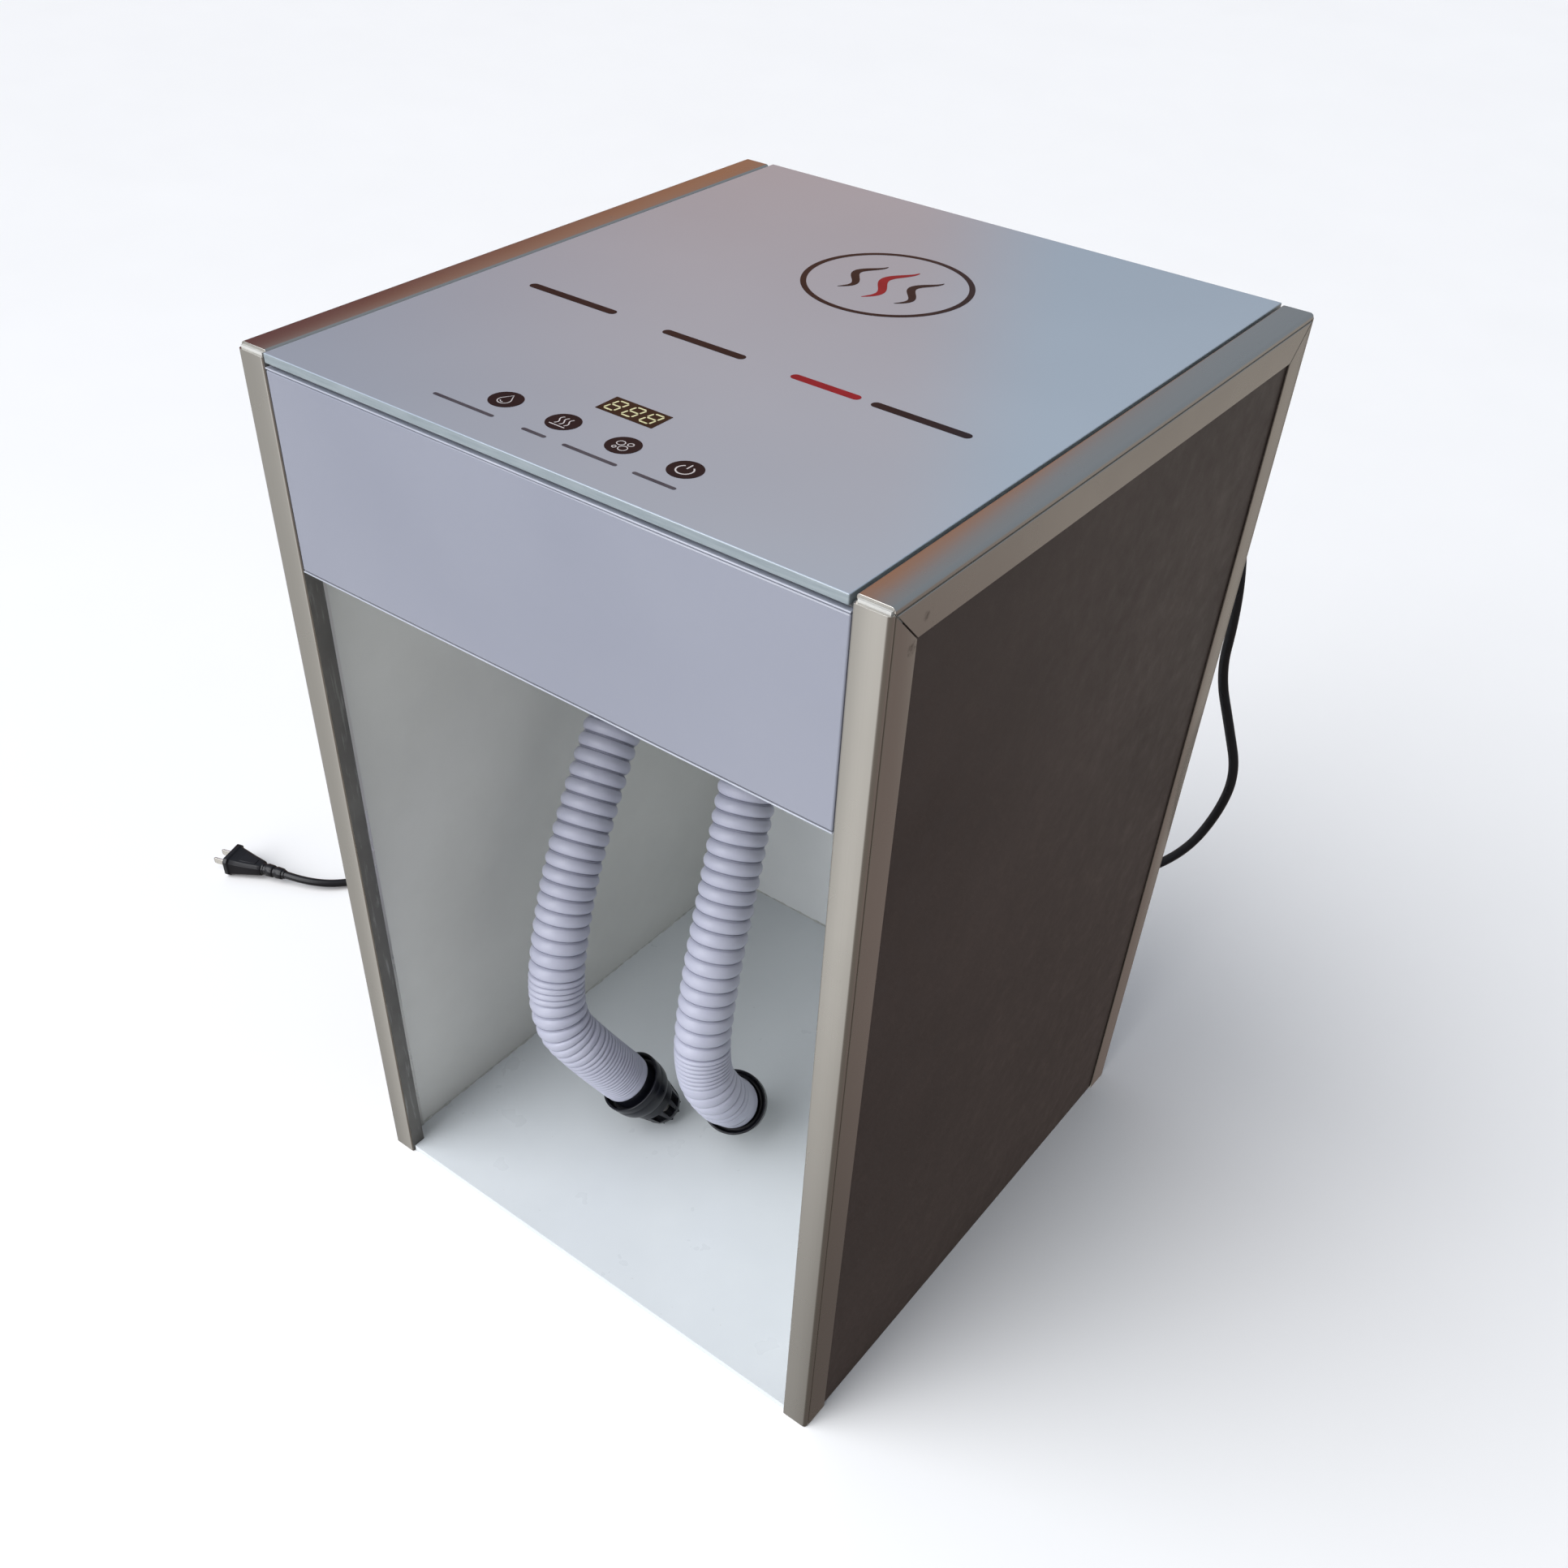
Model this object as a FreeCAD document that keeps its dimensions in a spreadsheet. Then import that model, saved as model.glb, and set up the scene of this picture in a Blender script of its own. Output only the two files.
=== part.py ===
import FreeCAD, Part
import math
import os
from FreeCAD import Vector, Placement, Rotation

# Warm-air footwear dryer cabinet: open-front cabinet in extruded trims, glass
# control top, head space with blower, heater and air manifold, and two hanging
# ribbed hoses that each end in a bell collar and a slotted outlet cage.
# Frame: +X right, +Y back, +Z up, origin at the centre of the footprint.

doc = FreeCAD.newDocument("warm_air_dryer")
sheet = doc.addObject("Spreadsheet::Sheet", "Params")
TABLE = [
    ("cab_w", 400), ("cab_d", 421), ("cab_h", 623),
    ("half_w", 200), ("half_d", 210.5),
    ("trim_face", 19.2), ("trim_box", 12.2), ("trim_leg", 22), ("trim_wall", 1.2),
    ("fin_in", 7.3), ("fin_out", 8.5),
    ("panel_gauge", 6), ("side_inner", 192.7), ("side_half_len", 198), ("side_top", 610.5),
    ("base_gauge", 5), ("base_front", 208), ("deck_low", 498.5), ("deck_gauge", 4),
    ("deck_front", 206.5), ("deck_rear", 204.7), ("notch_x", 180.5), ("deck_half", 192.4),
    ("fin_clear", 191.2), ("fin_end", 188.2),
    ("fascia_gauge", 3.5), ("fascia_half", 180.3), ("fascia_low", 501), ("fascia_high", 615.3),
    ("fascia_back", 206.5),
    ("glass_gauge", 5.2), ("glass_half", 179.2), ("glass_low", 617.8),
    ("back_gauge", 4.5), ("back_half", 180), ("back_top", 615.3), ("back_y", 205),
    ("frame_gauge", 4), ("tape_gauge", 2.5), ("frame_low", 611.3),
    ("socket_y", 40), ("socket_left_x", 110), ("socket_right_x", 6), ("socket_hole", 24.1),
    ("hose_outer", 20.5), ("hose_inner", 19), ("spigot_outer", 18.93), ("spigot_inner", 16.9),
    ("hose_top", 492), ("spigot_low", 477),
    ("bell_outer", 25.2), ("bell_inner", 23.2), ("bell_floor", 8), ("bell_step", 19.5),
    ("cage_tip", 51), ("window_wide", 7), ("window_low", 30.5), ("window_high", 44.5),
    ("window_count", 10), ("hose_gap", 5.4), ("nozzle_spigot", 16),
    ("blower_x", 140), ("blower_outer", 50), ("blower_low", 520), ("blower_high", 564),
    ("shell_wall", 2), ("inlet_bore", 28), ("impeller_outer", 40), ("impeller_inner", 31),
    ("impeller_x", 144), ("impeller_y", 4), ("blade_count", 24),
    ("motor_can", 29), ("shaft_bore", 3.05), ("shaft_pin", 3),
    ("cord_outer", 3.5), ("pin_wide", 6.3), ("pin_gauge", 1.5), ("pin_long", 15), ("pin_pitch", 12.7),
]
for row, (word, number) in enumerate(TABLE, start=1):
    sheet.set("A%d" % row, word)
    sheet.set("B%d" % row, str(number))
    sheet.setAlias("B%d" % row, word)
doc.recompute()


def val(word):
    return float(sheet.get(word))


NODES = []


def node(obj, label):
    obj.Label = label
    NODES.append(obj)
    return obj


# ---------------------------------------------------------------- sketch tools
def plane(body, role):
    for feature in body.Origin.OriginFeatures:
        if feature.Role == role:
            return feature
    raise RuntimeError(role)


def sketch(body, role, name, lift=0.0):
    sk = body.newObject("Sketcher::SketchObject", name)
    sk.AttachmentSupport = [(plane(body, role), "")]
    sk.MapMode = "FlatFace"
    sk.AttachmentOffset = Placement(Vector(0, 0, lift), Rotation())
    return sk


def loop(sk, points):
    import Sketcher
    first = sk.GeometryCount
    n = len(points)
    for i in range(n):
        a, b = points[i], points[(i + 1) % n]
        sk.addGeometry(Part.LineSegment(Vector(a[0], a[1], 0), Vector(b[0], b[1], 0)), False)
    for i in range(n):
        sk.addConstraint(Sketcher.Constraint("Coincident", first + i, 2, first + (i + 1) % n, 1))
    return first


def ring(sk, x, y, word):
    import Sketcher
    g = sk.addGeometry(Part.Circle(Vector(x, y, 0), Vector(0, 0, 1), val(word)), False)
    c = sk.addConstraint(Sketcher.Constraint("Radius", g, val(word)))
    sk.setExpression("Constraints[%d]" % c, "Params." + word)
    return g


def symmetric(feature):
    if "SideType" in feature.PropertiesList:
        feature.SideType = "Symmetric"
    else:
        feature.Midplane = True


def pad(body, sk, expression, both=False):
    p = body.newObject("PartDesign::Pad", sk.Name + "_pad")
    p.Profile = sk
    if both:
        symmetric(p)
    p.setExpression("Length", expression)
    sk.Visibility = False
    return p


def pocket(body, sk, length, both=False):
    p = body.newObject("PartDesign::Pocket", sk.Name + "_cut")
    p.Profile = sk
    if both:
        symmetric(p)
    p.Length = length
    sk.Visibility = False
    return p


def new_body(label):
    body = doc.addObject("PartDesign::Body", label)
    return node(body, label)


# -------------------------------------------------------------- boolean tools
def block(name, length, width, height, x, y, z):
    b = doc.addObject("Part::Box", name)
    for prop, expression in (("Length", length), ("Width", width), ("Height", height),
                             ("Placement.Base.x", x), ("Placement.Base.y", y), ("Placement.Base.z", z)):
        b.setExpression(prop, str(expression))
    return b


def drum(name, radius, height, x, y, z):
    c = doc.addObject("Part::Cylinder", name)
    for prop, expression in (("Radius", radius), ("Height", height),
                             ("Placement.Base.x", x), ("Placement.Base.y", y), ("Placement.Base.z", z)):
        c.setExpression(prop, str(expression))
    return c


def fuse(name, items):
    f = doc.addObject("Part::MultiFuse", name)
    f.Shapes = items
    f.Refine = True
    return f


def less(name, base, tools):
    c = doc.addObject("Part::Cut", name)
    c.Base = base
    c.Tool = tools[0] if len(tools) == 1 else fuse(name + "_tools", tools)
    c.Refine = True
    return c


def solid(label, shape, placement=None):
    f = doc.addObject("Part::Feature", label)
    f.Shape = shape
    f.Placement = placement if placement is not None else Placement()
    return node(f, label)


def rod(radius, start, end):
    a, b = Vector(*start), Vector(*end)
    return Part.makeCylinder(radius, (b - a).Length, a, (b - a))


def brick(x0, x1, y0, y1, z0, z1):
    return Part.makeBox(x1 - x0, y1 - y0, z1 - z0, Vector(x0, y0, z0))


def lathe(profile):
    wire = Part.makePolygon([Vector(r, 0, s) for r, s in profile] + [Vector(profile[0][0], 0, profile[0][1])])
    return Part.Face(wire).revolve(Vector(0, 0, 0), Vector(0, 0, 1), 360)


def joined(shapes):
    out = shapes[0]
    if len(shapes) > 1:
        out = shapes[0].multiFuse(shapes[1:])
    return out.removeSplitter()


# ------------------------------------------------------------------- cabinet
hw, hd, hh = val("half_w"), val("half_d"), val("cab_h")
nx, dh, fc, fe = val("notch_x"), val("deck_half"), val("fin_clear"), val("fin_end")
sl = val("side_half_len")


def deck_outline(front, rear):
    right = [(nx, -front), (nx, -sl), (fc, -sl), (fc, -fe), (dh, -fe), (dh, fe), (fc, fe), (fc, sl), (nx, sl), (nx, rear)]
    return right + [(-x, y) for x, y in reversed(right)]


base = new_body("base_panel")
sk = sketch(base, "XY_Plane", "base_outline")
loop(sk, deck_outline(val("base_front"), val("deck_rear")))
pad(base, sk, "Params.base_gauge")

deck = new_body("ceiling_panel")
sk = sketch(deck, "XY_Plane", "deck_outline", val("deck_low"))
sk.setExpression("AttachmentOffset.Base.z", "Params.deck_low")
loop(sk, deck_outline(val("deck_front"), val("deck_rear")))
ring(sk, -val("socket_left_x"), val("socket_y"), "socket_hole")
ring(sk, -val("socket_right_x"), val("socket_y"), "socket_hole")
pad(deck, sk, "Params.deck_gauge")

for side, label in ((-1, "side_panel_left"), (1, "side_panel_right")):
    b = new_body(label)
    sk = sketch(b, "XY_Plane", label + "_outline")
    xi = side * val("side_inner")
    xo = side * (val("side_inner") + val("panel_gauge"))
    loop(sk, [(xi, -sl), (xo, -sl), (xo, sl), (xi, sl)])
    pad(b, sk, "Params.side_top")

# back panel with the intake opening and the cord hole
bp = new_body("back_panel")
sk = sketch(bp, "XY_Plane", "back_outline")
bh, by, bg = val("back_half"), val("back_y"), val("back_gauge")
loop(sk, [(-bh, by), (bh, by), (bh, by + bg), (-bh, by + bg)])
pad(bp, sk, "Params.back_top")
sk = sketch(bp, "XZ_Plane", "intake_opening", 0)
loop(sk, [(-60, 530), (40, 530), (40, 590), (-60, 590)])
sk.addGeometry(Part.Circle(Vector(150, 537.6, 0), Vector(0, 0, 1), 7.6), False)
pocket(bp, sk, 600, both=True)

fascia = block("front_fascia", "2 * Params.fascia_half", "Params.fascia_gauge",
               "Params.fascia_high - Params.fascia_low", "-Params.fascia_half",
               "-Params.fascia_back - Params.fascia_gauge", "Params.fascia_low")
node(fascia, "front_fascia")
glass = block("glass_top", "2 * Params.glass_half", "Params.cab_d", "Params.glass_gauge",
              "-Params.glass_half", "-Params.half_d", "Params.glass_low")
node(glass, "glass_top")

# extruded trims, one section, mitred where the vertical and top runs meet
tf, tb, tl, tw = val("trim_face"), val("trim_box"), val("trim_leg"), val("trim_wall")
fi, fo = val("fin_in"), val("fin_out")
OUTER = [(0, 0), (tf, 0), (tf, tb), (fo, tb), (fo, tl), (fi, tl), (fi, tb), (tw, tb), (tw, tl), (0, tl)]
INNER = [(tw, tw), (tf - tw, tw), (tf - tw, tb - tw), (tw, tb - tw)]


def trim(label, to_xy, role, along, mitres):
    b = new_body(label)
    sk_ = sketch(b, role, label + "_section")
    loop(sk_, [to_xy(u, v) for u, v in OUTER])
    loop(sk_, [to_xy(u, v) for u, v in INNER])
    pad(b, sk_, along, both=(role == "XZ_Plane"))
    cut_ = sketch(b, "YZ_Plane", label + "_mitre")
    for tri in mitres:
        loop(cut_, tri)
    pocket(b, cut_, 900, both=True)
    return b


for side, word in ((-1, "left"), (1, "right")):
    trim("trim_front_" + word, lambda u, v, s_=side: (s_ * (hw - u), -hd + v), "XY_Plane", "Params.cab_h",
         [[(-hd - 5, hh + 5), (-hd + 40, hh - 40), (-hd + 40, hh + 5)]])
    trim("trim_rear_" + word, lambda u, v, s_=side: (s_ * (hw - u), hd - v), "XY_Plane", "Params.cab_h",
         [[(hd + 5, hh + 5), (hd - 40, hh - 40), (hd - 40, hh + 5)]])
    trim("trim_top_" + word, lambda u, v, s_=side: (s_ * (hw - u), hh - v), "XZ_Plane", "Params.cab_d",
         [[(-hd - 5, hh + 5), (-hd + 40, hh - 40), (-hd - 5, hh - 40)],
          [(hd + 5, hh + 5), (hd - 40, hh - 40), (hd + 5, hh - 40)]])

# angle keys inside the four mitred corners
keys = []
k0, k1, ku0, ku1 = tw + 0.3, tb - tw - 0.3, tw + 0.3, tf - tw - 0.3
for side in (-1, 1):
    for end in (-1, 1):
        xa, xb = sorted((side * (hw - ku0), side * (hw - ku1)))
        ya, yb = sorted((end * (hd - k0), end * (hd - k1)))
        y_in = end * (hd - 45)
        yc, yd = sorted((end * (hd - k0), y_in))
        keys.append(joined([brick(xa, xb, ya, yb, hh - 45, hh - k0), brick(xa, xb, yc, yd, hh - k1, hh - k0)]))
solid("corner_keys", Part.makeCompound(keys))

# glass support frame and the bonding tape above it
fx, fy0, fy1 = 180.3, -206.2, 204.6
outer = block("frame_outer", "2 * Params.fascia_half", 410.8, "Params.frame_gauge", "-Params.fascia_half", fy0, "Params.frame_low")
inner = block("frame_inner", 336, 386, 20, -168, -194, 605)
node(less("glass_frame", outer, [inner]), "glass_frame")
outer = block("tape_outer", 350, 405, "Params.tape_gauge", -175, -203.5, "Params.frame_low + Params.frame_gauge")
inner = block("tape_inner", 338, 388, 20, -169, -195, 605)
node(less("glass_tape", outer, [inner]), "glass_tape")

# ------------------------------------------------------------------ head space
zt = val("deck_low") + val("deck_gauge")
bx, br, bl, bt, sw = val("blower_x"), val("blower_outer"), val("blower_low"), val("blower_high"), val("shell_wall")
o1 = drum("scroll_outer", "Params.blower_outer", "Params.blower_high - Params.blower_low", "Params.blower_x", 0, "Params.blower_low")
o2 = block("outlet_outer", 44, 42, "Params.blower_high - Params.blower_low", 96, 8, "Params.blower_low")
i1 = drum("scroll_inner", "Params.blower_outer - Params.shell_wall", 60, "Params.blower_x", 0, "Params.blower_low + Params.shell_wall")
i2 = block("outlet_inner", 50, 38, 60, 90, 10, "Params.blower_low + Params.shell_wall")
i3 = drum("inlet_hole", "Params.inlet_bore", 20, "Params.impeller_x", "-Params.impeller_y", "Params.blower_low - 5")
node(less("blower_housing", fuse("housing_body", [o1, o2]), [i1, i2, i3]), "blower_housing")

l1 = drum("lid_disc", "Params.blower_outer", 2, "Params.blower_x", 0, "Params.blower_high")
l2 = block("lid_tongue", 44, 42, 2, 96, 8, "Params.blower_high")
l3 = drum("lid_hole", 8, 10, "Params.impeller_x", "-Params.impeller_y", "Params.blower_high - 4")
node(less("blower_lid", fuse("lid_plate", [l1, l2]), [l3]), "blower_lid")

ix, iy = val("impeller_x"), -val("impeller_y")
can = drum("motor_drum", "Params.motor_can", 32, "Params.impeller_x", "-Params.impeller_y", "Params.blower_high + 2")
flange = drum("motor_flange", 36, 2.5, "Params.impeller_x", "-Params.impeller_y", "Params.blower_high + 2")
boss = drum("motor_boss", 7, 6, "Params.impeller_x", "-Params.impeller_y", "Params.blower_high - 1")
bore = drum("motor_bore", "Params.shaft_bore", 18, "Params.impeller_x", "-Params.impeller_y", "Params.blower_high - 3")
node(less("blower_motor", fuse("motor_body", [can, flange, boss]), [bore]), "blower_motor")

screws = []
for k in range(3):
    a = math.radians(90 + 120 * k)
    p = (ix + 32.5 * math.cos(a), iy + 32.5 * math.sin(a))
    screws.append(rod(2.6, (p[0], p[1], bt + 4.5), (p[0], p[1], bt + 7)))
solid("motor_screws", Part.makeCompound(screws))

feet = []
for k in range(3):
    a = math.radians(60 + 120 * k)
    p = (bx + 42 * math.cos(a), 42 * math.sin(a))
    feet.append(rod(6, (p[0], p[1], zt), (p[0], p[1], bl)))
solid("blower_feet", Part.makeCompound(feet))

# impeller: backplate, hub, shaft, blades and rim
ro, ri = val("impeller_outer"), val("impeller_inner")
z0, z1 = bl + 6, bt - 6
parts = [rod(ro, (ix, iy, z1 - 2), (ix, iy, z1)),
         rod(9, (ix, iy, z1 - 16), (ix, iy, z1)),
         rod(val("shaft_pin"), (ix, iy, z1 - 1), (ix, iy, bt + 13)),
         Part.makeCylinder(ro, 2, Vector(ix, iy, z0), Vector(0, 0, 1)).cut(Part.makeCylinder(ri, 4, Vector(ix, iy, z0 - 1), Vector(0, 0, 1)))]
for k in range(int(val("blade_count"))):
    a = 360.0 * k / val("blade_count")
    blade = brick(ri + 0.5, ro - 0.3, -0.6, 0.6, z0 + 0.5, z1 - 0.5)
    blade.rotate(Vector((ro + ri) / 2, 0, 0), Vector(0, 0, 1), 28)
    blade.rotate(Vector(0, 0, 0), Vector(0, 0, 1), a)
    blade.translate(Vector(ix, iy, 0))
    ring_band = blade.common(Part.makeCylinder(ro, 60, Vector(ix, iy, z0 - 2), Vector(0, 0, 1)))
    parts.append(ring_band)
solid("impeller", joined(parts))

d1 = block("duct_outer", 62, 42, "Params.blower_high + 2 - Params.blower_low", 34, 8, "Params.blower_low")
d2 = block("duct_inner", 80, 38, 42, 25, 10, 522)
d3 = drum("duct_relief", "Params.blower_outer + 0.2", 80, "Params.blower_x", 0, "Params.blower_low - 5")
node(less("heater_duct", d1, [d2, d3]), "heater_duct")

fins = [brick(50, 54, 10.4, 47.6, 526, 530), brick(63, 67, 10.4, 47.6, 541, 545), brick(76, 80, 10.4, 47.6, 556, 560)]
for k in range(9):
    y = 12.6 + 4.0 * k
    fins.append(brick(46, 84, y, y + 0.8, 522.4, 563.6))
solid("heater_core", joined(fins))
solid("thermal_cutout", joined([rod(8, (65, 29, 566), (65, 29, 571)), brick(62, 68, 12, 46, 566, 567.2),
                                brick(56, 58, 26, 32, 567, 574), brick(72, 74, 26, 32, 567, 574)]))

m1 = block("manifold_outer", 182, 64, 63.5, -148, 8, "Params.deck_low + Params.deck_gauge")
m2 = block("manifold_inner", 178, 60, 61.5, -146, 10, "Params.deck_low + Params.deck_gauge - 0.001")
m3 = block("manifold_port", 20, 38, 42, 25, 10, 522)
node(less("air_manifold", m1, [m2, m3]), "air_manifold")

so, si, hi, htop, slow = val("spigot_outer"), val("spigot_inner"), val("hose_inner"), val("hose_top"), val("spigot_low")
for label, sx in (("hose_socket_left", -val("socket_left_x")), ("hose_socket_right", -val("socket_right_x"))):
    ring_shape = lathe([(si, slow), (so, slow), (so, htop + 0.3), (27, htop + 0.3), (27, val("deck_low")),
                        (24, val("deck_low")), (24, zt + 4), (si, zt + 4)])
    solid(label, ring_shape, Placement(Vector(sx, val("socket_y"), 0), Rotation()))

solid("board_standoffs", Part.makeCompound([rod(3.2, (x, y, zt), (x, y, 516)) for x in (-145, -45) for y in (-145, -65)]))
solid("power_board", brick(-150, -40, -150, -60, 516, 517.6))
comp = [brick(-146, -112, -142, -112, 517.6, 543), brick(-104, -86, -144, -126, 517.6, 533),
        rod(8, (-70, -134, 517.6), (-70, -134, 545)), rod(6.3, (-54, -132, 517.6), (-54, -132, 538)),
        brick(-146, -118, -100, -84, 517.6, 532), brick(-108, -60, -112, -108, 517.6, 550),
        brick(-100, -90, -100, -92, 517.6, 521), brick(-84, -66, -88, -68, 517.6, 520.2),
        brick(-60, -44, -104, -72, 517.6, 529)]
solid("board_parts", Part.makeCompound(comp))
solid("touch_bracket", joined([brick(-74, 82, -206.2, -126, 606.3, 608), brick(-74, 82, -206.2, -204.6, 592, 608)]))
solid("touch_board", brick(-72, 80, -184, -128, 608, 609.6))
solid("display_module", brick(-13.4, 21.6, -147.6, -132, 609.6, 617.3))
pads = []
for x in (-50.8, -13.5, 23.7, 60.6):
    pads.append(rod(7, (x, -169.7, 609.6), (x, -169.7, 617.5)).cut(rod(5, (x, -169.7, 611), (x, -169.7, 618))))
solid("touch_springs", Part.makeCompound(pads))
solid("sanitiser_unit", joined([brick(60, 122, -150, -96, zt, 530), rod(6, (91, -96, 516), (91, -82, 516)),
                                rod(3, (70, -123, 530), (70, -123, 536)), rod(3, (112, -123, 530), (112, -123, 536))]))

g = [brick(-59.7, 39.7, 205, 209.5, 530.3, 589.7).cut(brick(-54, 34, 200, 215, 536, 584))]
for k in range(7):
    z = 539.2 + 6.6 * k
    slat = brick(-55, 35, 205.6, 208.9, z, z + 1.8)
    g.append(slat)
g.append(brick(-11, -9, 205.6, 208.9, 535, 585))
solid("intake_grille", joined(g))

heads = []
for x in (-172, 172):
    for z in (22, 165, 310, 455, 600):
        heads.append(rod(3.6, (x, 209.5, z), (x, 210.3, z)))
for x in (-90, 0, 90):
    for z in (2.6, 500.5):
        heads.append(rod(1.9 if z < 10 else 3.6, (x, 209.5, z), (x, 210.3, z)))
solid("back_screws", Part.makeCompound(heads))


# ----------------------------------------------------------- tubes along a route
def route(points):
    pts = [Vector(*p) for p in points]
    edges = []
    radii = []
    cursor = pts[0]
    for i in range(1, len(pts) - 1):
        a, p, b = pts[i - 1], pts[i], pts[i + 1]
        d0 = (p - a).normalize()
        d1_ = (b - p).normalize()
        turn = d0.getAngle(d1_)
        cutback = 0.45 * min((p - a).Length, (b - p).Length)
        radius = cutback / math.tan(turn / 2)
        radii.append(round(radius, 1))
        start = p - d0 * cutback
        end = p + d1_ * cutback
        mid_dir = (d1_ - d0).normalize()
        centre = p + mid_dir * (radius / math.cos(turn / 2))
        middle = centre - mid_dir * radius
        edges.append(("line", cursor, start))
        edges.append(("arc", start, middle, end, centre, turn, d0, d1_))
        cursor = end
    edges.append(("line", cursor, pts[-1]))
    return edges, radii


def tube(label, points, outer_r, inner_r=0.0):
    edges, radii = route(points)
    length = 0.0
    wire_edges = []
    pieces = []

    def section(at, along):
        wires = [Part.Wire([Part.makeCircle(outer_r, at, along)])]
        if inner_r:
            wires.append(Part.Wire([Part.makeCircle(inner_r, at, along)]))
        return Part.Face(wires, "Part::FaceMakerBullseye") if inner_r else Part.Face(wires[0])

    for e in edges:
        if e[0] == "line":
            length += (e[2] - e[1]).Length
            wire_edges.append(Part.LineSegment(e[1], e[2]).toShape())
            pieces.append(section(e[1], e[2] - e[1]).extrude(e[2] - e[1]))
        else:
            _, start, middle, end, centre, turn, d0, d1_ = e
            wire_edges.append(Part.Arc(start, middle, end).toShape())
            axis = d0.cross(d1_).normalize()
            length += (start - centre).Length * turn
            pieces.append(section(start, d0).revolve(centre, axis, math.degrees(turn)))
    wire = Part.Wire(wire_edges)
    shape = pieces[0].multiFuse(pieces[1:])
    shape = shape.removeSplitter()
    if len(shape.Solids) == 1:
        shape = shape.Solids[0]
    area = math.pi * (outer_r ** 2 - inner_r ** 2)
    print("%s: length %.1f, radii %s, volume ratio %.4f, solids %d, lowest %.2f"
          % (label, wire.Length, radii, shape.Volume / (area * wire.Length), len(shape.Solids), shape.optimalBoundingBox(False).ZMin))
    return solid(label, shape)


# nozzle axes (from the rim plane towards the tip) and rim centres
RIM_L, AXIS_L = Vector(-64.218, -85.093, 56.192), Vector(0.30137, 0.48248, -0.82243).normalize()
RIM_R, AXIS_R = Vector(9.262, -49.437, 53.666), Vector(-0.23104, 0.62582, -0.74496).normalize()
END_L = RIM_L - AXIS_L * val("hose_gap")
END_R = RIM_R - AXIS_R * val("hose_gap")
ho = val("hose_outer")
lx, rx, sy = -val("socket_left_x"), -val("socket_right_x"), val("socket_y")
tube("hose_left", [(lx, sy, htop), (lx, sy, 455), (-122, 30, 398), (-133, 2, 344), (-124, -45, 291),
                   (-111, -97, 222), (-101, -126, 136), tuple(END_L - AXIS_L * 45.8), tuple(END_L)], ho, hi)
tube("hose_right", [(rx, sy, htop), (rx, sy, 449.4), (-18.6, 18.6, 375.9), (-20.6, -2.1, 327.4),
                    (-8, -37.6, 264.1), (0.1, -68.8, 198.2), (6.4, -89, 123.1),
                    tuple(END_R - AXIS_R * 36.0), tuple(END_R)], ho, hi)

GLAND_END = (150, 232, 530)
PLUG_AXIS = Vector(-0.953, -0.301, 0).normalize()
RELIEF = Vector(-508, -62, 9)
ENTRY = RELIEF - PLUG_AXIS * 28 + Vector(0, 0, -2.2)
CORD = [GLAND_END, (150, 260, 522), (155, 284, 496), (165, 284, 462), (178, 275, 430), (184, 270, 396),
        (185, 269, 355), (202, 268, 318), (217, 267, 284), (213, 266, 246), (198, 264, 203), (165, 262, 164),
        (122, 264, 122), (74, 268, 80), (25, 276, 41), (-30, 290, 8), (-92, 312, 3.6), (-158, 322, 3.6),
        (-226, 310, 3.6), (-290, 276, 3.6), (-338, 222, 3.6), (-372, 158, 3.6), (-402, 94, 3.6),
        (-430, 30, 3.6), (-455, -24, 3.6), tuple(ENTRY), tuple(RELIEF)]
tube("power_cord", CORD, val("cord_outer"))

# cord gland through the back panel, tilted with the first run of the cord
gdir = (Vector(150, 260, 522) - Vector(*GLAND_END)).normalize()
g0 = Vector(*GLAND_END)


def along(t):
    q = g0 - gdir * t
    return (q.x, q.y, q.z)


gl = [rod(5.6, along(34), along(14)), rod(9.6, (150, 209.6, 537.0), (150, 212.6, 537.0))]
gl.append(Part.makeCone(6.4, 4.4, 19.6, Vector(*along(19.6)), gdir))
solid("cord_gland", joined(gl))


# --------------------------------------------------------------------- nozzles
def to_axis(origin, axis):
    return Placement(origin, Rotation(Vector(0, 0, 1), axis))


bo, bi_, bf, bs = val("bell_outer"), val("bell_inner"), val("bell_floor"), val("bell_step")
gap, ns = val("hose_gap"), val("nozzle_spigot")
collar = lathe([(16.4, -gap - ns), (so, -gap - ns), (so, bf), (bi_, bf), (bi_, 0), (bo, 0), (24.9, 5), (24.4, 9.5),
                (23.5, 14), (22.4, 18), (22.0, bs), (20, bs), (20, bf + 2.4), (16.4, bf + 2.4)])
tip = val("cage_tip")
cage = lathe([(18.0, 12), (19.97, 12), (19.97, bs), (21.2, bs), (20.2, 25), (19.0, 30.5), (17.5, 37.4), (15.9, 44.5),
              (14.6, 48.6), (12.6, 50.5), (10.5, tip), (0, tip), (0, tip - 2), (10.2, tip - 2), (12.9, 47.2),
              (14.2, 44.0), (15.8, 37.0), (17.3, 30.2), (18.6, 24.5), (18.9, 21.5), (18.0, 20.6)])
slots = []
for k in range(int(val("window_count"))):
    s_ = Part.makeBox(20, val("window_wide"), val("window_high") - val("window_low"),
                      Vector(8, -val("window_wide") / 2, val("window_low")))
    s_.rotate(Vector(0, 0, 0), Vector(0, 0, 1), 36.0 * k + 18)
    slots.append(s_)
cage = cage.cut(Part.makeCompound(slots)).removeSplitter()
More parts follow.
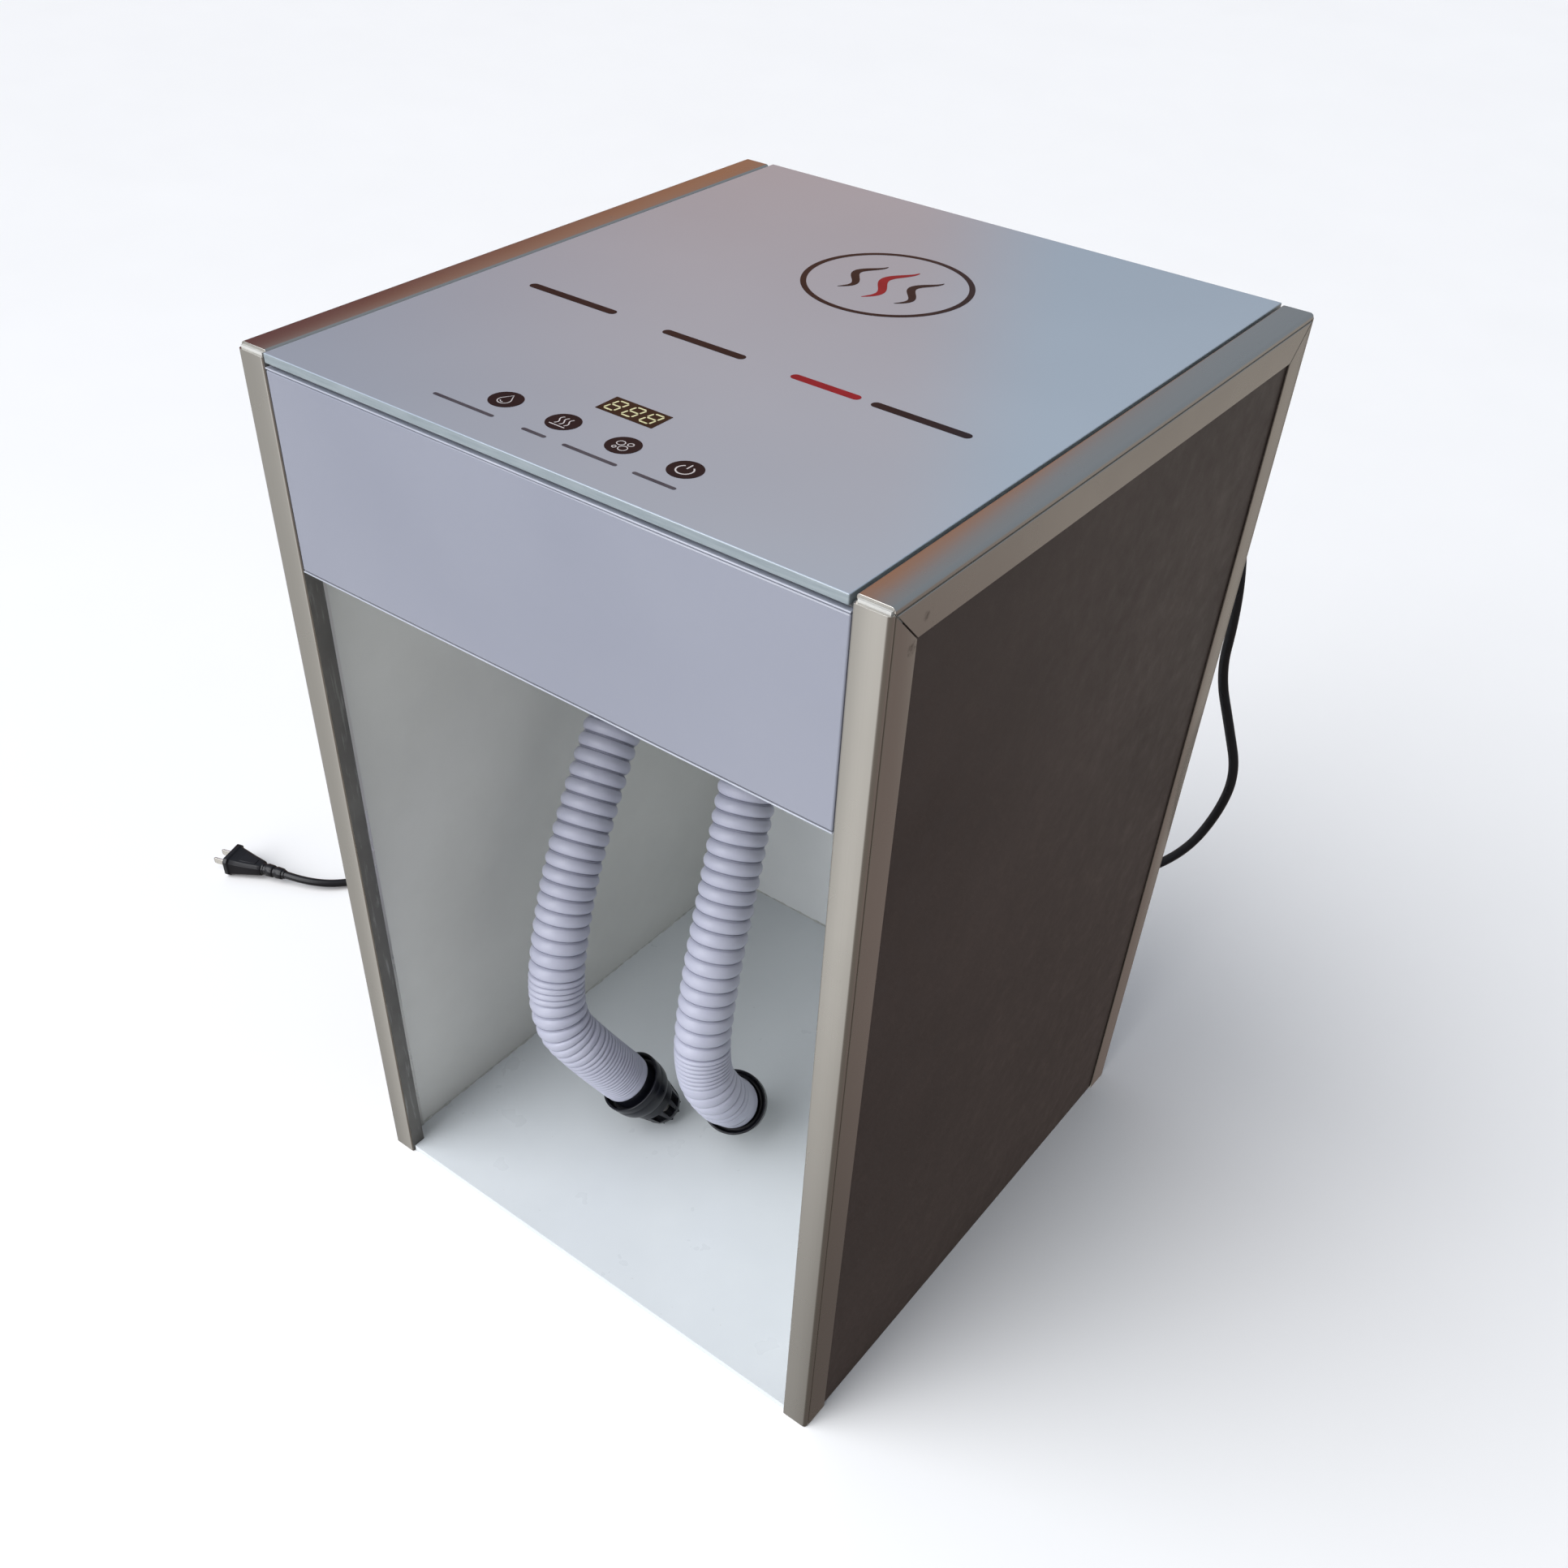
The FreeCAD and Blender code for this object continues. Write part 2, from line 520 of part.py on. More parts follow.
for word, origin, axis in (("left", RIM_L, AXIS_L), ("right", RIM_R, AXIS_R)):
    solid("nozzle_collar_" + word, collar.copy(), to_axis(origin, axis))
    solid("nozzle_cage_" + word, cage.copy(), to_axis(origin, axis))


# ------------------------------------------------------------------------ plug
def slab(half_w, half_h, corner):
    w, h_, c = half_w, half_h, corner
    pts = [(-w + c, -h_), (w - c, -h_), (w, -h_ + c), (w, h_ - c), (w - c, h_), (-w + c, h_), (-w, h_ - c), (-w, -h_ + c)]
    return pts


def plug_loft(stations):
    wires = []
    for t_, w, h_, c in stations:
        pts = [Vector(t_, x, y) for x, y in slab(w, h_, c)]
        wires.append(Part.makePolygon(pts + [pts[0]]))
    return Part.makeLoft(wires, True, True)


body_ = plug_loft([(24, 6.2, 5.6, 2.2), (46, 11.5, 7.6, 2.6), (55, 13, 8.8, 2.6), (57.5, 13, 8.8, 2.6)])
ribs = [Part.makeCone(4.3, 5.4, 24.5, Vector(0, 0, 0), Vector(1, 0, 0))]
for t_, r_ in ((3, 5.6), (12.5, 6.2)):
    ribs.append(rod(r_, (t_, 0, 0), (t_ + 6.5, 0, 0)))
# plug local axes: x along the pins, y across the pair, z up
pl = Placement(RELIEF, Rotation(Vector(0, 0, 1), math.degrees(math.atan2(PLUG_AXIS.y, PLUG_AXIS.x))))
plug = joined([body_] + ribs)
pw, pg, plong, pp = val("pin_wide"), val("pin_gauge"), val("pin_long"), val("pin_pitch")
pins = []
holes = []
for s_ in (-1, 1):
    y = s_ * pp / 2
    pins.append(brick(53.5, 57.5 + plong, y - pg / 2, y + pg / 2, -pw / 2, pw / 2))
plug = plug.cut(Part.makeCompound(pins))
solid("plug_body", plug, pl)
solid("plug_prongs", Part.makeCompound(pins), pl)

# ---------------------------------------------------------------- check, write
doc.recompute()
bad = 0
for obj in doc.Objects:
    if "Invalid" in obj.State or "Error" in obj.State:
        print("BAD STATE", obj.Name, obj.State)
        bad += 1
for obj in NODES:
    s_ = obj.Shape
    if s_.isNull() or not s_.isValid() or s_.Volume <= 0:
        print("BAD SHAPE", obj.Label)
        bad += 1
os.makedirs("parts", exist_ok=True)
for stale in os.listdir("parts"):
    os.remove(os.path.join("parts", stale))
total = None
for obj in NODES:
    obj.Shape.exportStep("parts/%s.step" % obj.Label)
    b = obj.Shape.BoundBox
    print("%-20s vol %10.1f  solids %2d  x %.1f..%.1f y %.1f..%.1f z %.1f..%.1f"
          % (obj.Label, obj.Shape.Volume, len(obj.Shape.Solids), b.XMin, b.XMax, b.YMin, b.YMax, b.ZMin, b.ZMax))
if bad:
    raise RuntimeError("%d faults" % bad)
print("nodes", len(NODES))
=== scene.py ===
import bpy
import bmesh
import math
from mathutils import Vector, Matrix, Quaternion


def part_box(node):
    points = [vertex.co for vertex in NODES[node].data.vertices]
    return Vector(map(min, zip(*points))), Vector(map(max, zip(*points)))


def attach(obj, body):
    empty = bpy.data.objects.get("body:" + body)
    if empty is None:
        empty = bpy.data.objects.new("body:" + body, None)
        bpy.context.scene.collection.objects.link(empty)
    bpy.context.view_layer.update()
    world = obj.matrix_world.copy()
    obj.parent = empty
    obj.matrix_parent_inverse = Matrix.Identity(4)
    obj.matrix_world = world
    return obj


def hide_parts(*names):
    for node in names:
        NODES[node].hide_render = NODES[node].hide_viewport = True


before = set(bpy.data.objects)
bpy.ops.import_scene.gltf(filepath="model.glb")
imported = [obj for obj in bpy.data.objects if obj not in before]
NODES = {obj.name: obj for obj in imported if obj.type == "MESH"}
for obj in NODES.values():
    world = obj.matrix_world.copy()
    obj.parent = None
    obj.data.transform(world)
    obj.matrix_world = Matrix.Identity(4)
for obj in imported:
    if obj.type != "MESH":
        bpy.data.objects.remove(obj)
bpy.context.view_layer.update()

MM = 0.001
SCN = bpy.context.scene
COL = SCN.collection


# =============================================================== node helpers
class Tree:
    """Short hand for building a procedural material."""

    def __init__(self, name):
        self.m = bpy.data.materials.new(name)
        self.m.use_nodes = True
        self.t = self.m.node_tree
        self.p = self.t.nodes["Principled BSDF"]
        self.tc = self.t.nodes.new("ShaderNodeTexCoord")
        self._maps = {}

    def set(self, **kw):
        for k, v in kw.items():
            name = k.replace("_", " ")
            if name in self.p.inputs:
                self.p.inputs[name].default_value = v
        return self

    def link(self, a, b):
        self.t.links.new(a, b)

    def coords(self, stretch=(1, 1, 1)):
        key = tuple(stretch)
        if key not in self._maps:
            n = self.t.nodes.new("ShaderNodeMapping")
            n.inputs["Scale"].default_value = stretch
            self.link(self.tc.outputs["Object"], n.inputs["Vector"])
            self._maps[key] = n.outputs["Vector"]
        return self._maps[key]

    def noise(self, scale, detail=3.0, rough=0.55, stretch=(1, 1, 1), distort=0.0):
        n = self.t.nodes.new("ShaderNodeTexNoise")
        n.inputs["Scale"].default_value = scale
        n.inputs["Detail"].default_value = detail
        n.inputs["Roughness"].default_value = rough
        n.inputs["Distortion"].default_value = distort
        self.link(self.coords(stretch), n.inputs["Vector"])
        return n.outputs["Fac"]

    def cells(self, scale, stretch=(1, 1, 1)):
        n = self.t.nodes.new("ShaderNodeTexVoronoi")
        n.inputs["Scale"].default_value = scale
        self.link(self.coords(stretch), n.inputs["Vector"])
        return n.outputs["Distance"]

    def remap(self, fac, a, b, lo, hi):
        n = self.t.nodes.new("ShaderNodeMapRange")
        n.inputs["From Min"].default_value = a
        n.inputs["From Max"].default_value = b
        n.inputs["To Min"].default_value = lo
        n.inputs["To Max"].default_value = hi
        self.link(fac, n.inputs["Value"])
        return n.outputs["Result"]

    def math(self, op, a, b=None):
        n = self.t.nodes.new("ShaderNodeMath")
        n.operation = op
        for i, v in enumerate((a, b)):
            if v is None:
                continue
            if isinstance(v, (int, float)):
                n.inputs[i].default_value = v
            else:
                self.link(v, n.inputs[i])
        return n.outputs[0]

    def mix(self, fac, a, b):
        n = self.t.nodes.new("ShaderNodeMix")
        n.data_type = "RGBA"
        if isinstance(fac, (int, float)):
            n.inputs[0].default_value = fac
        else:
            self.link(fac, n.inputs[0])
        for v, i in ((a, 6), (b, 7)):
            if isinstance(v, tuple):
                n.inputs[i].default_value = (*v[:3], 1)
            else:
                self.link(v, n.inputs[i])
        return n.outputs[2]

    def ramp(self, fac, stops):
        n = self.t.nodes.new("ShaderNodeValToRGB")
        el = n.color_ramp.elements
        while len(el) < len(stops):
            el.new(0.5)
        for e, (pos, c) in zip(el, stops):
            e.position = pos
            e.color = (*c[:3], 1)
        self.link(fac, n.inputs["Fac"])
        return n.outputs["Color"]

    def axis(self, which):
        n = self.t.nodes.new("ShaderNodeSeparateXYZ")
        self.link(self.tc.outputs["Object"], n.inputs[0])
        return n.outputs[which]

    def colour(self, c):
        self.link(c, self.p.inputs["Base Color"])
        return self

    def rough(self, r):
        self.link(r, self.p.inputs["Roughness"])
        return self

    def bump(self, height, strength=0.2, distance=0.0004):
        n = self.t.nodes.new("ShaderNodeBump")
        n.inputs["Strength"].default_value = strength
        n.inputs["Distance"].default_value = distance
        self.link(height, n.inputs["Height"])
        self.link(n.outputs["Normal"], self.p.inputs["Normal"])
        return self


def plain(name, a, b, rough=(0.35, 0.5), metallic=0.0, scale=60, bump=0.12, fine=900, coat=0.0, coat_rough=0.05,
          spec=0.5, stretch=(1, 1, 1), distance=0.0002):
    t = Tree(name)
    t.set(Metallic=metallic, Coat_Weight=coat, Coat_Roughness=coat_rough, Specular_IOR_Level=spec)
    n1 = t.noise(scale, 4, 0.6, stretch)
    t.colour(t.mix(t.remap(n1, 0.3, 0.7, 0, 1), a, b))
    n2 = t.noise(scale * 2.3, 3, 0.6, stretch)
    t.rough(t.remap(n2, 0.3, 0.7, rough[0], rough[1]))
    t.bump(t.noise(fine, 2, 0.5, stretch), bump, distance)
    return t.m


M = {}


def trim_metal(name, stretch):
    t = Tree(name)
    t.set(Metallic=1.0, Specular_IOR_Level=0.5)
    lines = t.noise(1.0, 4, 0.6, stretch)
    blotch = t.noise(14, 4, 0.6)
    scuff = t.remap(t.noise(75, 6, 0.7, distort=0.6), 0.69, 0.76, 0, 1)
    base = t.mix(t.remap(lines, 0.3, 0.7, 0, 1), (0.622, 0.602, 0.567), (0.636, 0.616, 0.581))
    base = t.mix(t.remap(blotch, 0.35, 0.75, 0, 0.2), base, (0.54, 0.52, 0.485))
    base = t.mix(t.math("MULTIPLY", scuff, 0.4), base, (0.26, 0.24, 0.22))
    # small handling smudges beside the upper mitre
    for place, reach in (((0.2, -0.192, 0.598), 0.0042), ((0.2, -0.183, 0.609), 0.0030)):
        d = t.t.nodes.new("ShaderNodeVectorMath")
        d.operation = "DISTANCE"
        d.inputs[1].default_value = place
        t.link(t.tc.outputs["Object"], d.inputs[0])
        near = t.remap(d.outputs["Value"], reach, reach * 0.25, 0, 1)
        dirt = t.math("MULTIPLY", near, t.remap(t.noise(420, 4, 0.7), 0.42, 0.62, 0.1, 0.8))
        base = t.mix(dirt, base, (0.12, 0.10, 0.09))
    t.colour(base)
    r = t.math("ADD", t.remap(blotch, 0.3, 0.7, 0.25, 0.30), t.math("MULTIPLY", scuff, 0.15))
    t.rough(r)
    t.bump(lines, 0.008, 0.0001)
    return t.m


M["trim_z"] = trim_metal("trim_metal_upright", (1500, 1500, 1.2))
M["trim_y"] = trim_metal("trim_metal_run", (1500, 1.2, 1500))

# white faced board inside the chamber, made darker as painted shade on the walls and ceiling; the back panel takes a
# brighter copy of it
t = Tree("board_white_shaded")
t.set(Specular_IOR_Level=0.5, Coat_Weight=0.15, Coat_Roughness=0.25)
c = t.mix(t.remap(t.noise(9, 4, 0.6), 0.3, 0.7, 0, 1), (0.62, 0.625, 0.60), (0.69, 0.695, 0.67))
spots = t.remap(t.noise(260, 3, 0.6), 0.72, 0.8, 0, 0.35)
c = t.mix(spots, c, (0.42, 0.40, 0.36))
t.colour(c)
t.rough(t.remap(t.noise(30, 3), 0.3, 0.7, 0.34, 0.46))
t.bump(t.noise(1400, 2), 0.05, 0.0001)
M["board_white_shaded"] = t.m

t = Tree("board_floor")
t.set(Specular_IOR_Level=0.5, Coat_Weight=0.3, Coat_Roughness=0.18)
c = t.mix(t.remap(t.noise(7, 4, 0.6), 0.3, 0.7, 0, 1), (0.655, 0.695, 0.725), (0.70, 0.74, 0.765))
c = t.mix(t.remap(t.noise(330, 3, 0.6), 0.73, 0.8, 0, 0.35), c, (0.45, 0.43, 0.40))
t.colour(c)
t.rough(t.remap(t.noise(26, 3), 0.3, 0.7, 0.26, 0.38))
t.bump(t.noise(1400, 2), 0.04, 0.0001)
M["board_floor"] = t.m

# brighter copy of the same white board for the back panel: painted light
M["back_board_lit_copy"] = plain("back_board_lit_copy", (0.80, 0.825, 0.835), (0.86, 0.88, 0.885), (0.34, 0.46), scale=9, bump=0.05, fine=1400)

# dark brown outer facing, softly mottled with a fine pearl grain
t = Tree("board_brown")
t.set(Specular_IOR_Level=0.42, Coat_Weight=0.0, Coat_Roughness=0.28)
big = t.noise(6, 5, 0.62)
mid = t.noise(60, 5, 0.7)
c = t.mix(t.remap(big, 0.3, 0.7, 0, 1), (0.034, 0.023, 0.020), (0.056, 0.039, 0.034))
c = t.mix(t.remap(mid, 0.45, 0.75, 0, 0.5), c, (0.074, 0.054, 0.048))
grain = t.remap(t.noise(1500, 2, 0.5), 0.62, 0.72, 0, 0.35)
c = t.mix(grain, c, (0.16, 0.13, 0.12))
t.colour(c)
t.rough(t.remap(mid, 0.3, 0.7, 0.30, 0.46))
t.bump(t.noise(420, 4), 0.10, 0.0002)
M["board_brown"] = t.m

M["edge_grey"] = plain("board_edge", (0.30, 0.29, 0.27), (0.42, 0.40, 0.37), (0.6, 0.8), scale=180, bump=0.3, fine=1200)

# glossy fascia board
t = Tree("fascia_gloss")
t.set(Coat_Weight=0.7, Coat_Roughness=0.06, Specular_IOR_Level=0.5)
c = t.mix(t.remap(t.noise(5, 3, 0.5), 0.3, 0.7, 0, 1), (0.225, 0.238, 0.292), (0.25, 0.263, 0.317))
c = t.mix(t.remap(t.noise(500, 3), 0.70, 0.78, 0, 0.25), c, (0.38, 0.37, 0.38))
t.colour(c)
t.rough(t.remap(t.noise(20, 3), 0.3, 0.7, 0.16, 0.24))
t.bump(t.noise(35, 3), 0.03, 0.0005)
M["fascia"] = t.m

# white paint seen through the glass: grey lilac, very glossy
t = Tree("glass_white")
t.set(Coat_Weight=1.0, Coat_Roughness=0.02, Specular_IOR_Level=0.5, Coat_IOR=1.52)
c = t.mix(t.remap(t.noise(4, 3, 0.5), 0.3, 0.7, 0, 1), (0.345, 0.41, 0.485), (0.375, 0.44, 0.515))
c = t.mix(t.remap(t.noise(700, 2), 0.735, 0.79, 0, 0.3), c, (0.36, 0.35, 0.35))
t.colour(c)
t.rough(t.remap(t.noise(18, 3), 0.3, 0.7, 0.10, 0.16))
t.bump(t.noise(11, 2), 0.02, 0.0006)
M["glass_white"] = t.m

t = Tree("glass_edge")
t.set(Coat_Weight=0.3, Coat_Roughness=0.06, Specular_IOR_Level=0.5)
c = t.mix(t.remap(t.noise(60, 3, 0.5, (1, 1, 12)), 0.3, 0.7, 0, 1), (0.205, 0.245, 0.265), (0.255, 0.295, 0.315))
t.colour(c)
t.rough(t.remap(t.noise(120, 3), 0.3, 0.7, 0.10, 0.25))
t.bump(t.noise(300, 2), 0.05, 0.0002)
M["glass_edge"] = t.m

# soft flexible hose
t = Tree("hose_grey")
t.set(Specular_IOR_Level=0.45)
c = t.mix(t.remap(t.noise(35, 4, 0.6), 0.3, 0.7, 0, 1), (0.395, 0.405, 0.495), (0.435, 0.445, 0.535))
t.colour(c)
t.rough(t.remap(t.noise(150, 3), 0.3, 0.7, 0.36, 0.48))
t.bump(t.noise(1600, 3), 0.10, 0.00012)
M["hose"] = t.m

M["black"] = plain("black_satin", (0.004, 0.0044, 0.0075), (0.007, 0.0076, 0.012), (0.27, 0.31), scale=25, bump=0.02, fine=2200, spec=0.32)
M["cord"] = plain("cord_black", (0.006, 0.006, 0.008), (0.013, 0.013, 0.016), (0.26, 0.31), scale=25, bump=0.02, fine=1500, spec=0.36)
M["pins"] = plain("pin_nickel", (0.70, 0.68, 0.64), (0.80, 0.78, 0.75), (0.16, 0.30), 1.0, 200, 0.06, 1500)
M["foam"] = plain("foam_black", (0.006, 0.006, 0.007), (0.016, 0.016, 0.017), (0.8, 0.95), scale=300, bump=0.4, fine=2500)
M["steel"] = plain("zinc_steel", (0.52, 0.52, 0.53), (0.66, 0.66, 0.66), (0.25, 0.42), 1.0, 150, 0.1, 1500)
M["dull_alu"] = plain("fin_aluminium", (0.62, 0.62, 0.62), (0.74, 0.74, 0.73), (0.32, 0.5), 1.0, 150, 0.1, 1500)
M["mould"] = plain("housing_mould", (0.50, 0.50, 0.48), (0.58, 0.58, 0.55), (0.45, 0.6), scale=50, bump=0.15, fine=1800)
M["board"] = plain("circuit_green", (0.010, 0.09, 0.03), (0.016, 0.13, 0.045), (0.25, 0.4), scale=220, bump=0.15, fine=900)
M["parts"] = plain("parts_dark", (0.02, 0.02, 0.024), (0.05, 0.05, 0.055), (0.35, 0.5), scale=120, bump=0.1, fine=900)
M["ink"] = plain("print_dark", (0.006, 0.005, 0.009), (0.012, 0.009, 0.014), (0.16, 0.24), scale=60, bump=0.02, fine=300, coat=0.0, spec=0.16)
M["ink_soft"] = plain("print_grey", (0.05, 0.05, 0.065), (0.08, 0.08, 0.095), (0.16, 0.24), scale=60, bump=0.02, fine=300, coat=0.0, spec=0.16)
M["ink_red"] = plain("print_red", (0.22, 0.006, 0.016), (0.29, 0.010, 0.022), (0.16, 0.24), scale=60, bump=0.02, fine=300, coat=0.0, spec=0.16)
M["ink_pale"] = plain("print_pale", (0.62, 0.62, 0.64), (0.72, 0.72, 0.73), (0.08, 0.12), scale=60, bump=0.02, fine=300, coat=1.0, coat_rough=0.02)
M["window"] = plain("display_window", (0.014, 0.008, 0.007), (0.026, 0.015, 0.011), (0.14, 0.2), scale=80, bump=0.02, fine=300, coat=0.0, spec=0.2)
t = Tree("display_segments")
t.set(Emission_Strength=0.22)
c = t.mix(t.remap(t.noise(420, 2), 0.35, 0.65, 0, 1), (0.52, 0.52, 0.30), (0.66, 0.65, 0.40))
t.colour(c)
t.link(c, t.p.inputs["Emission Color"])
t.rough(t.remap(t.noise(90, 2), 0.3, 0.7, 0.12, 0.2))
M["digits"] = t.m
# inner side of the uprights: a dark base colour that is painted shade, the shadow inside the opening, with pale streaks
# of old sealant
t = Tree("trim_inner_side")
t.set(Metallic=0.35, Specular_IOR_Level=0.4)
smear = t.remap(t.noise(1.0, 5, 0.65, (260, 260, 24), 0.4), 0.56, 0.70, 0, 0.75)
c = t.mix(t.remap(t.noise(18, 4, 0.6), 0.3, 0.7, 0, 1), (0.105, 0.100, 0.092), (0.155, 0.150, 0.138))
t.colour(t.mix(smear, c, (0.30, 0.30, 0.29)))
t.rough(t.remap(t.noise(60, 3), 0.3, 0.7, 0.38, 0.52))
t.bump(smear, 0.10, 0.0002)
M["trim_inner"] = t.m
# fascia edge strips: partly their own pale colour, partly a painted highlight on the rounded edges, brighter than the
# fascia
M["lip"] = plain("edge_lip_painted_highlight", (0.34, 0.36, 0.42), (0.42, 0.44, 0.50), (0.12, 0.2), scale=40, bump=0.02, fine=500, coat=0.6, coat_rough=0.05)
M["sealant"] = plain("corner_sealant", (0.42, 0.43, 0.41), (0.60, 0.61, 0.59), (0.4, 0.65), scale=240, bump=0.5, fine=600)


# =============================================================== mesh helpers
def mesh_object(name, verts, faces, mats, smooth=False, face_mats=None, body="cabinet"):
    me = bpy.data.meshes.new(name)
    me.from_pydata([tuple(v) for v in verts], [], faces)
    for m in (mats if isinstance(mats, (list, tuple)) else [mats]):
        me.materials.append(m)
    if face_mats:
        for p, k in zip(me.polygons, face_mats):
            p.material_index = k
    bm = bmesh.new()
    bm.from_mesh(me)
    bmesh.ops.recalc_face_normals(bm, faces=bm.faces)
    bm.to_mesh(me)
    bm.free()
    if smooth:
        for p in me.polygons:
            p.use_smooth = True
    me.update()
    ob = bpy.data.objects.new(name, me)
    COL.objects.link(ob)
    if body:
        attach(ob, body)
    return ob


def bevel(ob, width, segments=2, angle=30):
    b = ob.modifiers.new("edge", "BEVEL")
    b.width = width
    b.segments = segments
    b.limit_method = "ANGLE"
    b.angle_limit = math.radians(angle)
    b.harden_normals = False
    return ob


def soft(ob, angle=35):
    for p in ob.data.polygons:
        p.use_smooth = True
    ob.data.set_sharp_from_angle(angle=math.radians(angle))
    return ob


def slab(name, lo, hi, mats, width=0.0004, segments=2, pick=None, cuts=None, body="cabinet"):
    """A board with softened edges; pick(normal) chooses the material of each side."""
    bm = bmesh.new()
    bmesh.ops.create_cube(bm, size=1.0)
    lo, hi = Vector(lo), Vector(hi)
    for v in bm.verts:
        v.co = Vector([lo[i] + (v.co[i] + 0.5) * (hi[i] - lo[i]) for i in range(3)])
    for axis_, places in (cuts or {}).items():
        for place in places:
            co = Vector((0, 0, 0))
            co[axis_] = place
            no = Vector((0, 0, 0))
            no[axis_] = 1
            bmesh.ops.bisect_plane(bm, geom=bm.verts[:] + bm.edges[:] + bm.faces[:], plane_co=co, plane_no=no)
    bm.normal_update()
    if pick:
        for f in bm.faces:
            f.material_index = pick(f.normal)
    me = bpy.data.meshes.new(name)
    bm.to_mesh(me)
    bm.free()
    for m in (mats if isinstance(mats, (list, tuple)) else [mats]):
        me.materials.append(m)
    ob = bpy.data.objects.new(name, me)
    COL.objects.link(ob)
    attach(ob, body)
    if width:
        bevel(ob, width, segments)
        soft(ob)
    return ob


def round_corners(points, steps=5):
    """Polygon with rounded corners: points are (u, v, radius)."""
    out = []
    n = len(points)
    for i in range(n):
        p = Vector(points[i][:2])
        r = points[i][2]
        if r <= 0:
            out.append(p)
            continue
        a = (Vector(points[i - 1][:2]) - p).normalized()
        b = (Vector(points[(i + 1) % n][:2]) - p).normalized()
        half = a.angle(b) / 2
        back = r / math.tan(half)
        centre = p + (a + b).normalized() * (r / math.sin(half))
        s, e = p + a * back - centre, p + b * back - centre
        sweep = s.angle_signed(e)
        for k in range(steps + 1):
            ang = -sweep * k / steps
            out.append(centre + Vector((s.x * math.cos(ang) - s.y * math.sin(ang), s.x * math.sin(ang) + s.y * math.cos(ang))))
    return out


def sweep_line(points, resolution=24):
    """Points read from the route's own NURBS spline."""
    cu = bpy.data.curves.new("route", "CURVE")
    cu.dimensions = "3D"
    cu.resolution_u = resolution
    sp = cu.splines.new("NURBS")
    sp.points.add(len(points) - 1)
    for q, p in zip(sp.points, points):
        q.co = (p[0], p[1], p[2], 1)
    sp.order_u = 3
    sp.use_endpoint_u = True
    ob = bpy.data.objects.new("route", cu)
    COL.objects.link(ob)
    me = bpy.data.meshes.new_from_object(ob)
    line = [v.co.copy() for v in me.vertices]
    bpy.data.objects.remove(ob)
    bpy.data.meshes.remove(me)
    bpy.data.curves.remove(cu)
    return line


class Path:
    """Arc-length lookup with frames that do not twist."""

    def __init__(self, line):
        pts = [line[0]]
        for p in line[1:]:
            if (p - pts[-1]).length > 1e-7:
                pts.append(p)
        self.p = pts
        self.s = [0.0]
        for a, b in zip(pts, pts[1:]):
            self.s.append(self.s[-1] + (b - a).length)
        self.length = self.s[-1]
        tan = []
        for i in range(len(pts)):
            a = pts[max(i - 1, 0)]
            b = pts[min(i + 1, len(pts) - 1)]
            tan.append((b - a).normalized())
        self.t = tan
        x = Vector((1, 0, 0))
        x = (x - tan[0] * x.dot(tan[0])).normalized()
        self.x = [x]
        for i in range(1, len(pts)):
            q = tan[i - 1].rotation_difference(tan[i])
            x = q @ x
            x = (x - tan[i] * x.dot(tan[i])).normalized()
            self.x.append(x)

    def at(self, s):
        import bisect
        s = min(max(s, 0.0), self.length)
        i = min(max(bisect.bisect_right(self.s, s) - 1, 0), len(self.p) - 2)
        f = (s - self.s[i]) / (self.s[i + 1] - self.s[i])
        p = self.p[i].lerp(self.p[i + 1], f)
        tt = self.t[i].lerp(self.t[i + 1], f).normalized()
        x = self.x[i].lerp(self.x[i + 1], f)
        x = (x - tt * x.dot(tt)).normalized()
        return p, tt, x, tt.cross(x)


def lathe_mesh(name, rings, mats, n=96, cap_end=False, body="cabinet", place=None, closed=False):
    """rings: (radius, height, material) from start to end round local Z."""
    verts, faces, fm = [], [], []
    for r, z, _ in rings:
        for k in range(n):
            a = 2 * math.pi * k / n
            verts.append(Vector((r * math.cos(a), r * math.sin(a), z)))
    m = len(rings)
    for i in range(m if closed else m - 1):
        j = (i + 1) % m
        for k in range(n):
            l = (k + 1) % n
            faces.append((i * n + k, i * n + l, j * n + l, j * n + k))
            fm.append(rings[i][2])
    if place is not None:
        verts = [place @ v for v in verts]
    ob = mesh_object(name, verts, faces, mats, True, fm, body)
    ob.data.set_sharp_from_angle(angle=math.radians(38))
    return ob


# ================================================================= the camera
RIGHT = Vector((0.7896883357595335, 0.6127127698777335, 0.03123129830945101))
DOWN = Vector((0.44205989455941874, -0.5329690158608562, -0.7214756251977098))
AHEAD = Vector((-0.4254120143901133, 0.583546990191078, -0.6917351575939161))
cam_data = bpy.data.cameras.new("camera")
cam = bpy.data.objects.new("camera", cam_data)
COL.objects.link(cam)
rot = Matrix((RIGHT, -DOWN, -AHEAD)).transposed()
cam.matrix_world = Matrix.Translation((0.47404, -0.66970, 0.93354)) @ rot.to_4x4()
cam_data.sensor_width = 36
cam_data.lens = 1878.83 * 36 / 1932
cam_data.shift_x = 0.0203
cam_data.shift_y = 0.1205
cam_data.clip_start = 0.01
cam_data.clip_end = 60
SCN.camera = cam

# ================================================================== the cords
RIM = {"left": Vector((-64.218, -85.093, 56.192)) * MM, "right": Vector((9.262, -49.437, 53.666)) * MM}
AXIS = {"left": Vector((0.30137, 0.48248, -0.82243)).normalized(), "right": Vector((-0.23104, 0.62582, -0.74496)).normalized()}
END = {k: RIM[k] - AXIS[k] * 5.4 * MM for k in RIM}


def route(points):
    return [Vector(p) * MM if not isinstance(p, Vector) else p for p in points]


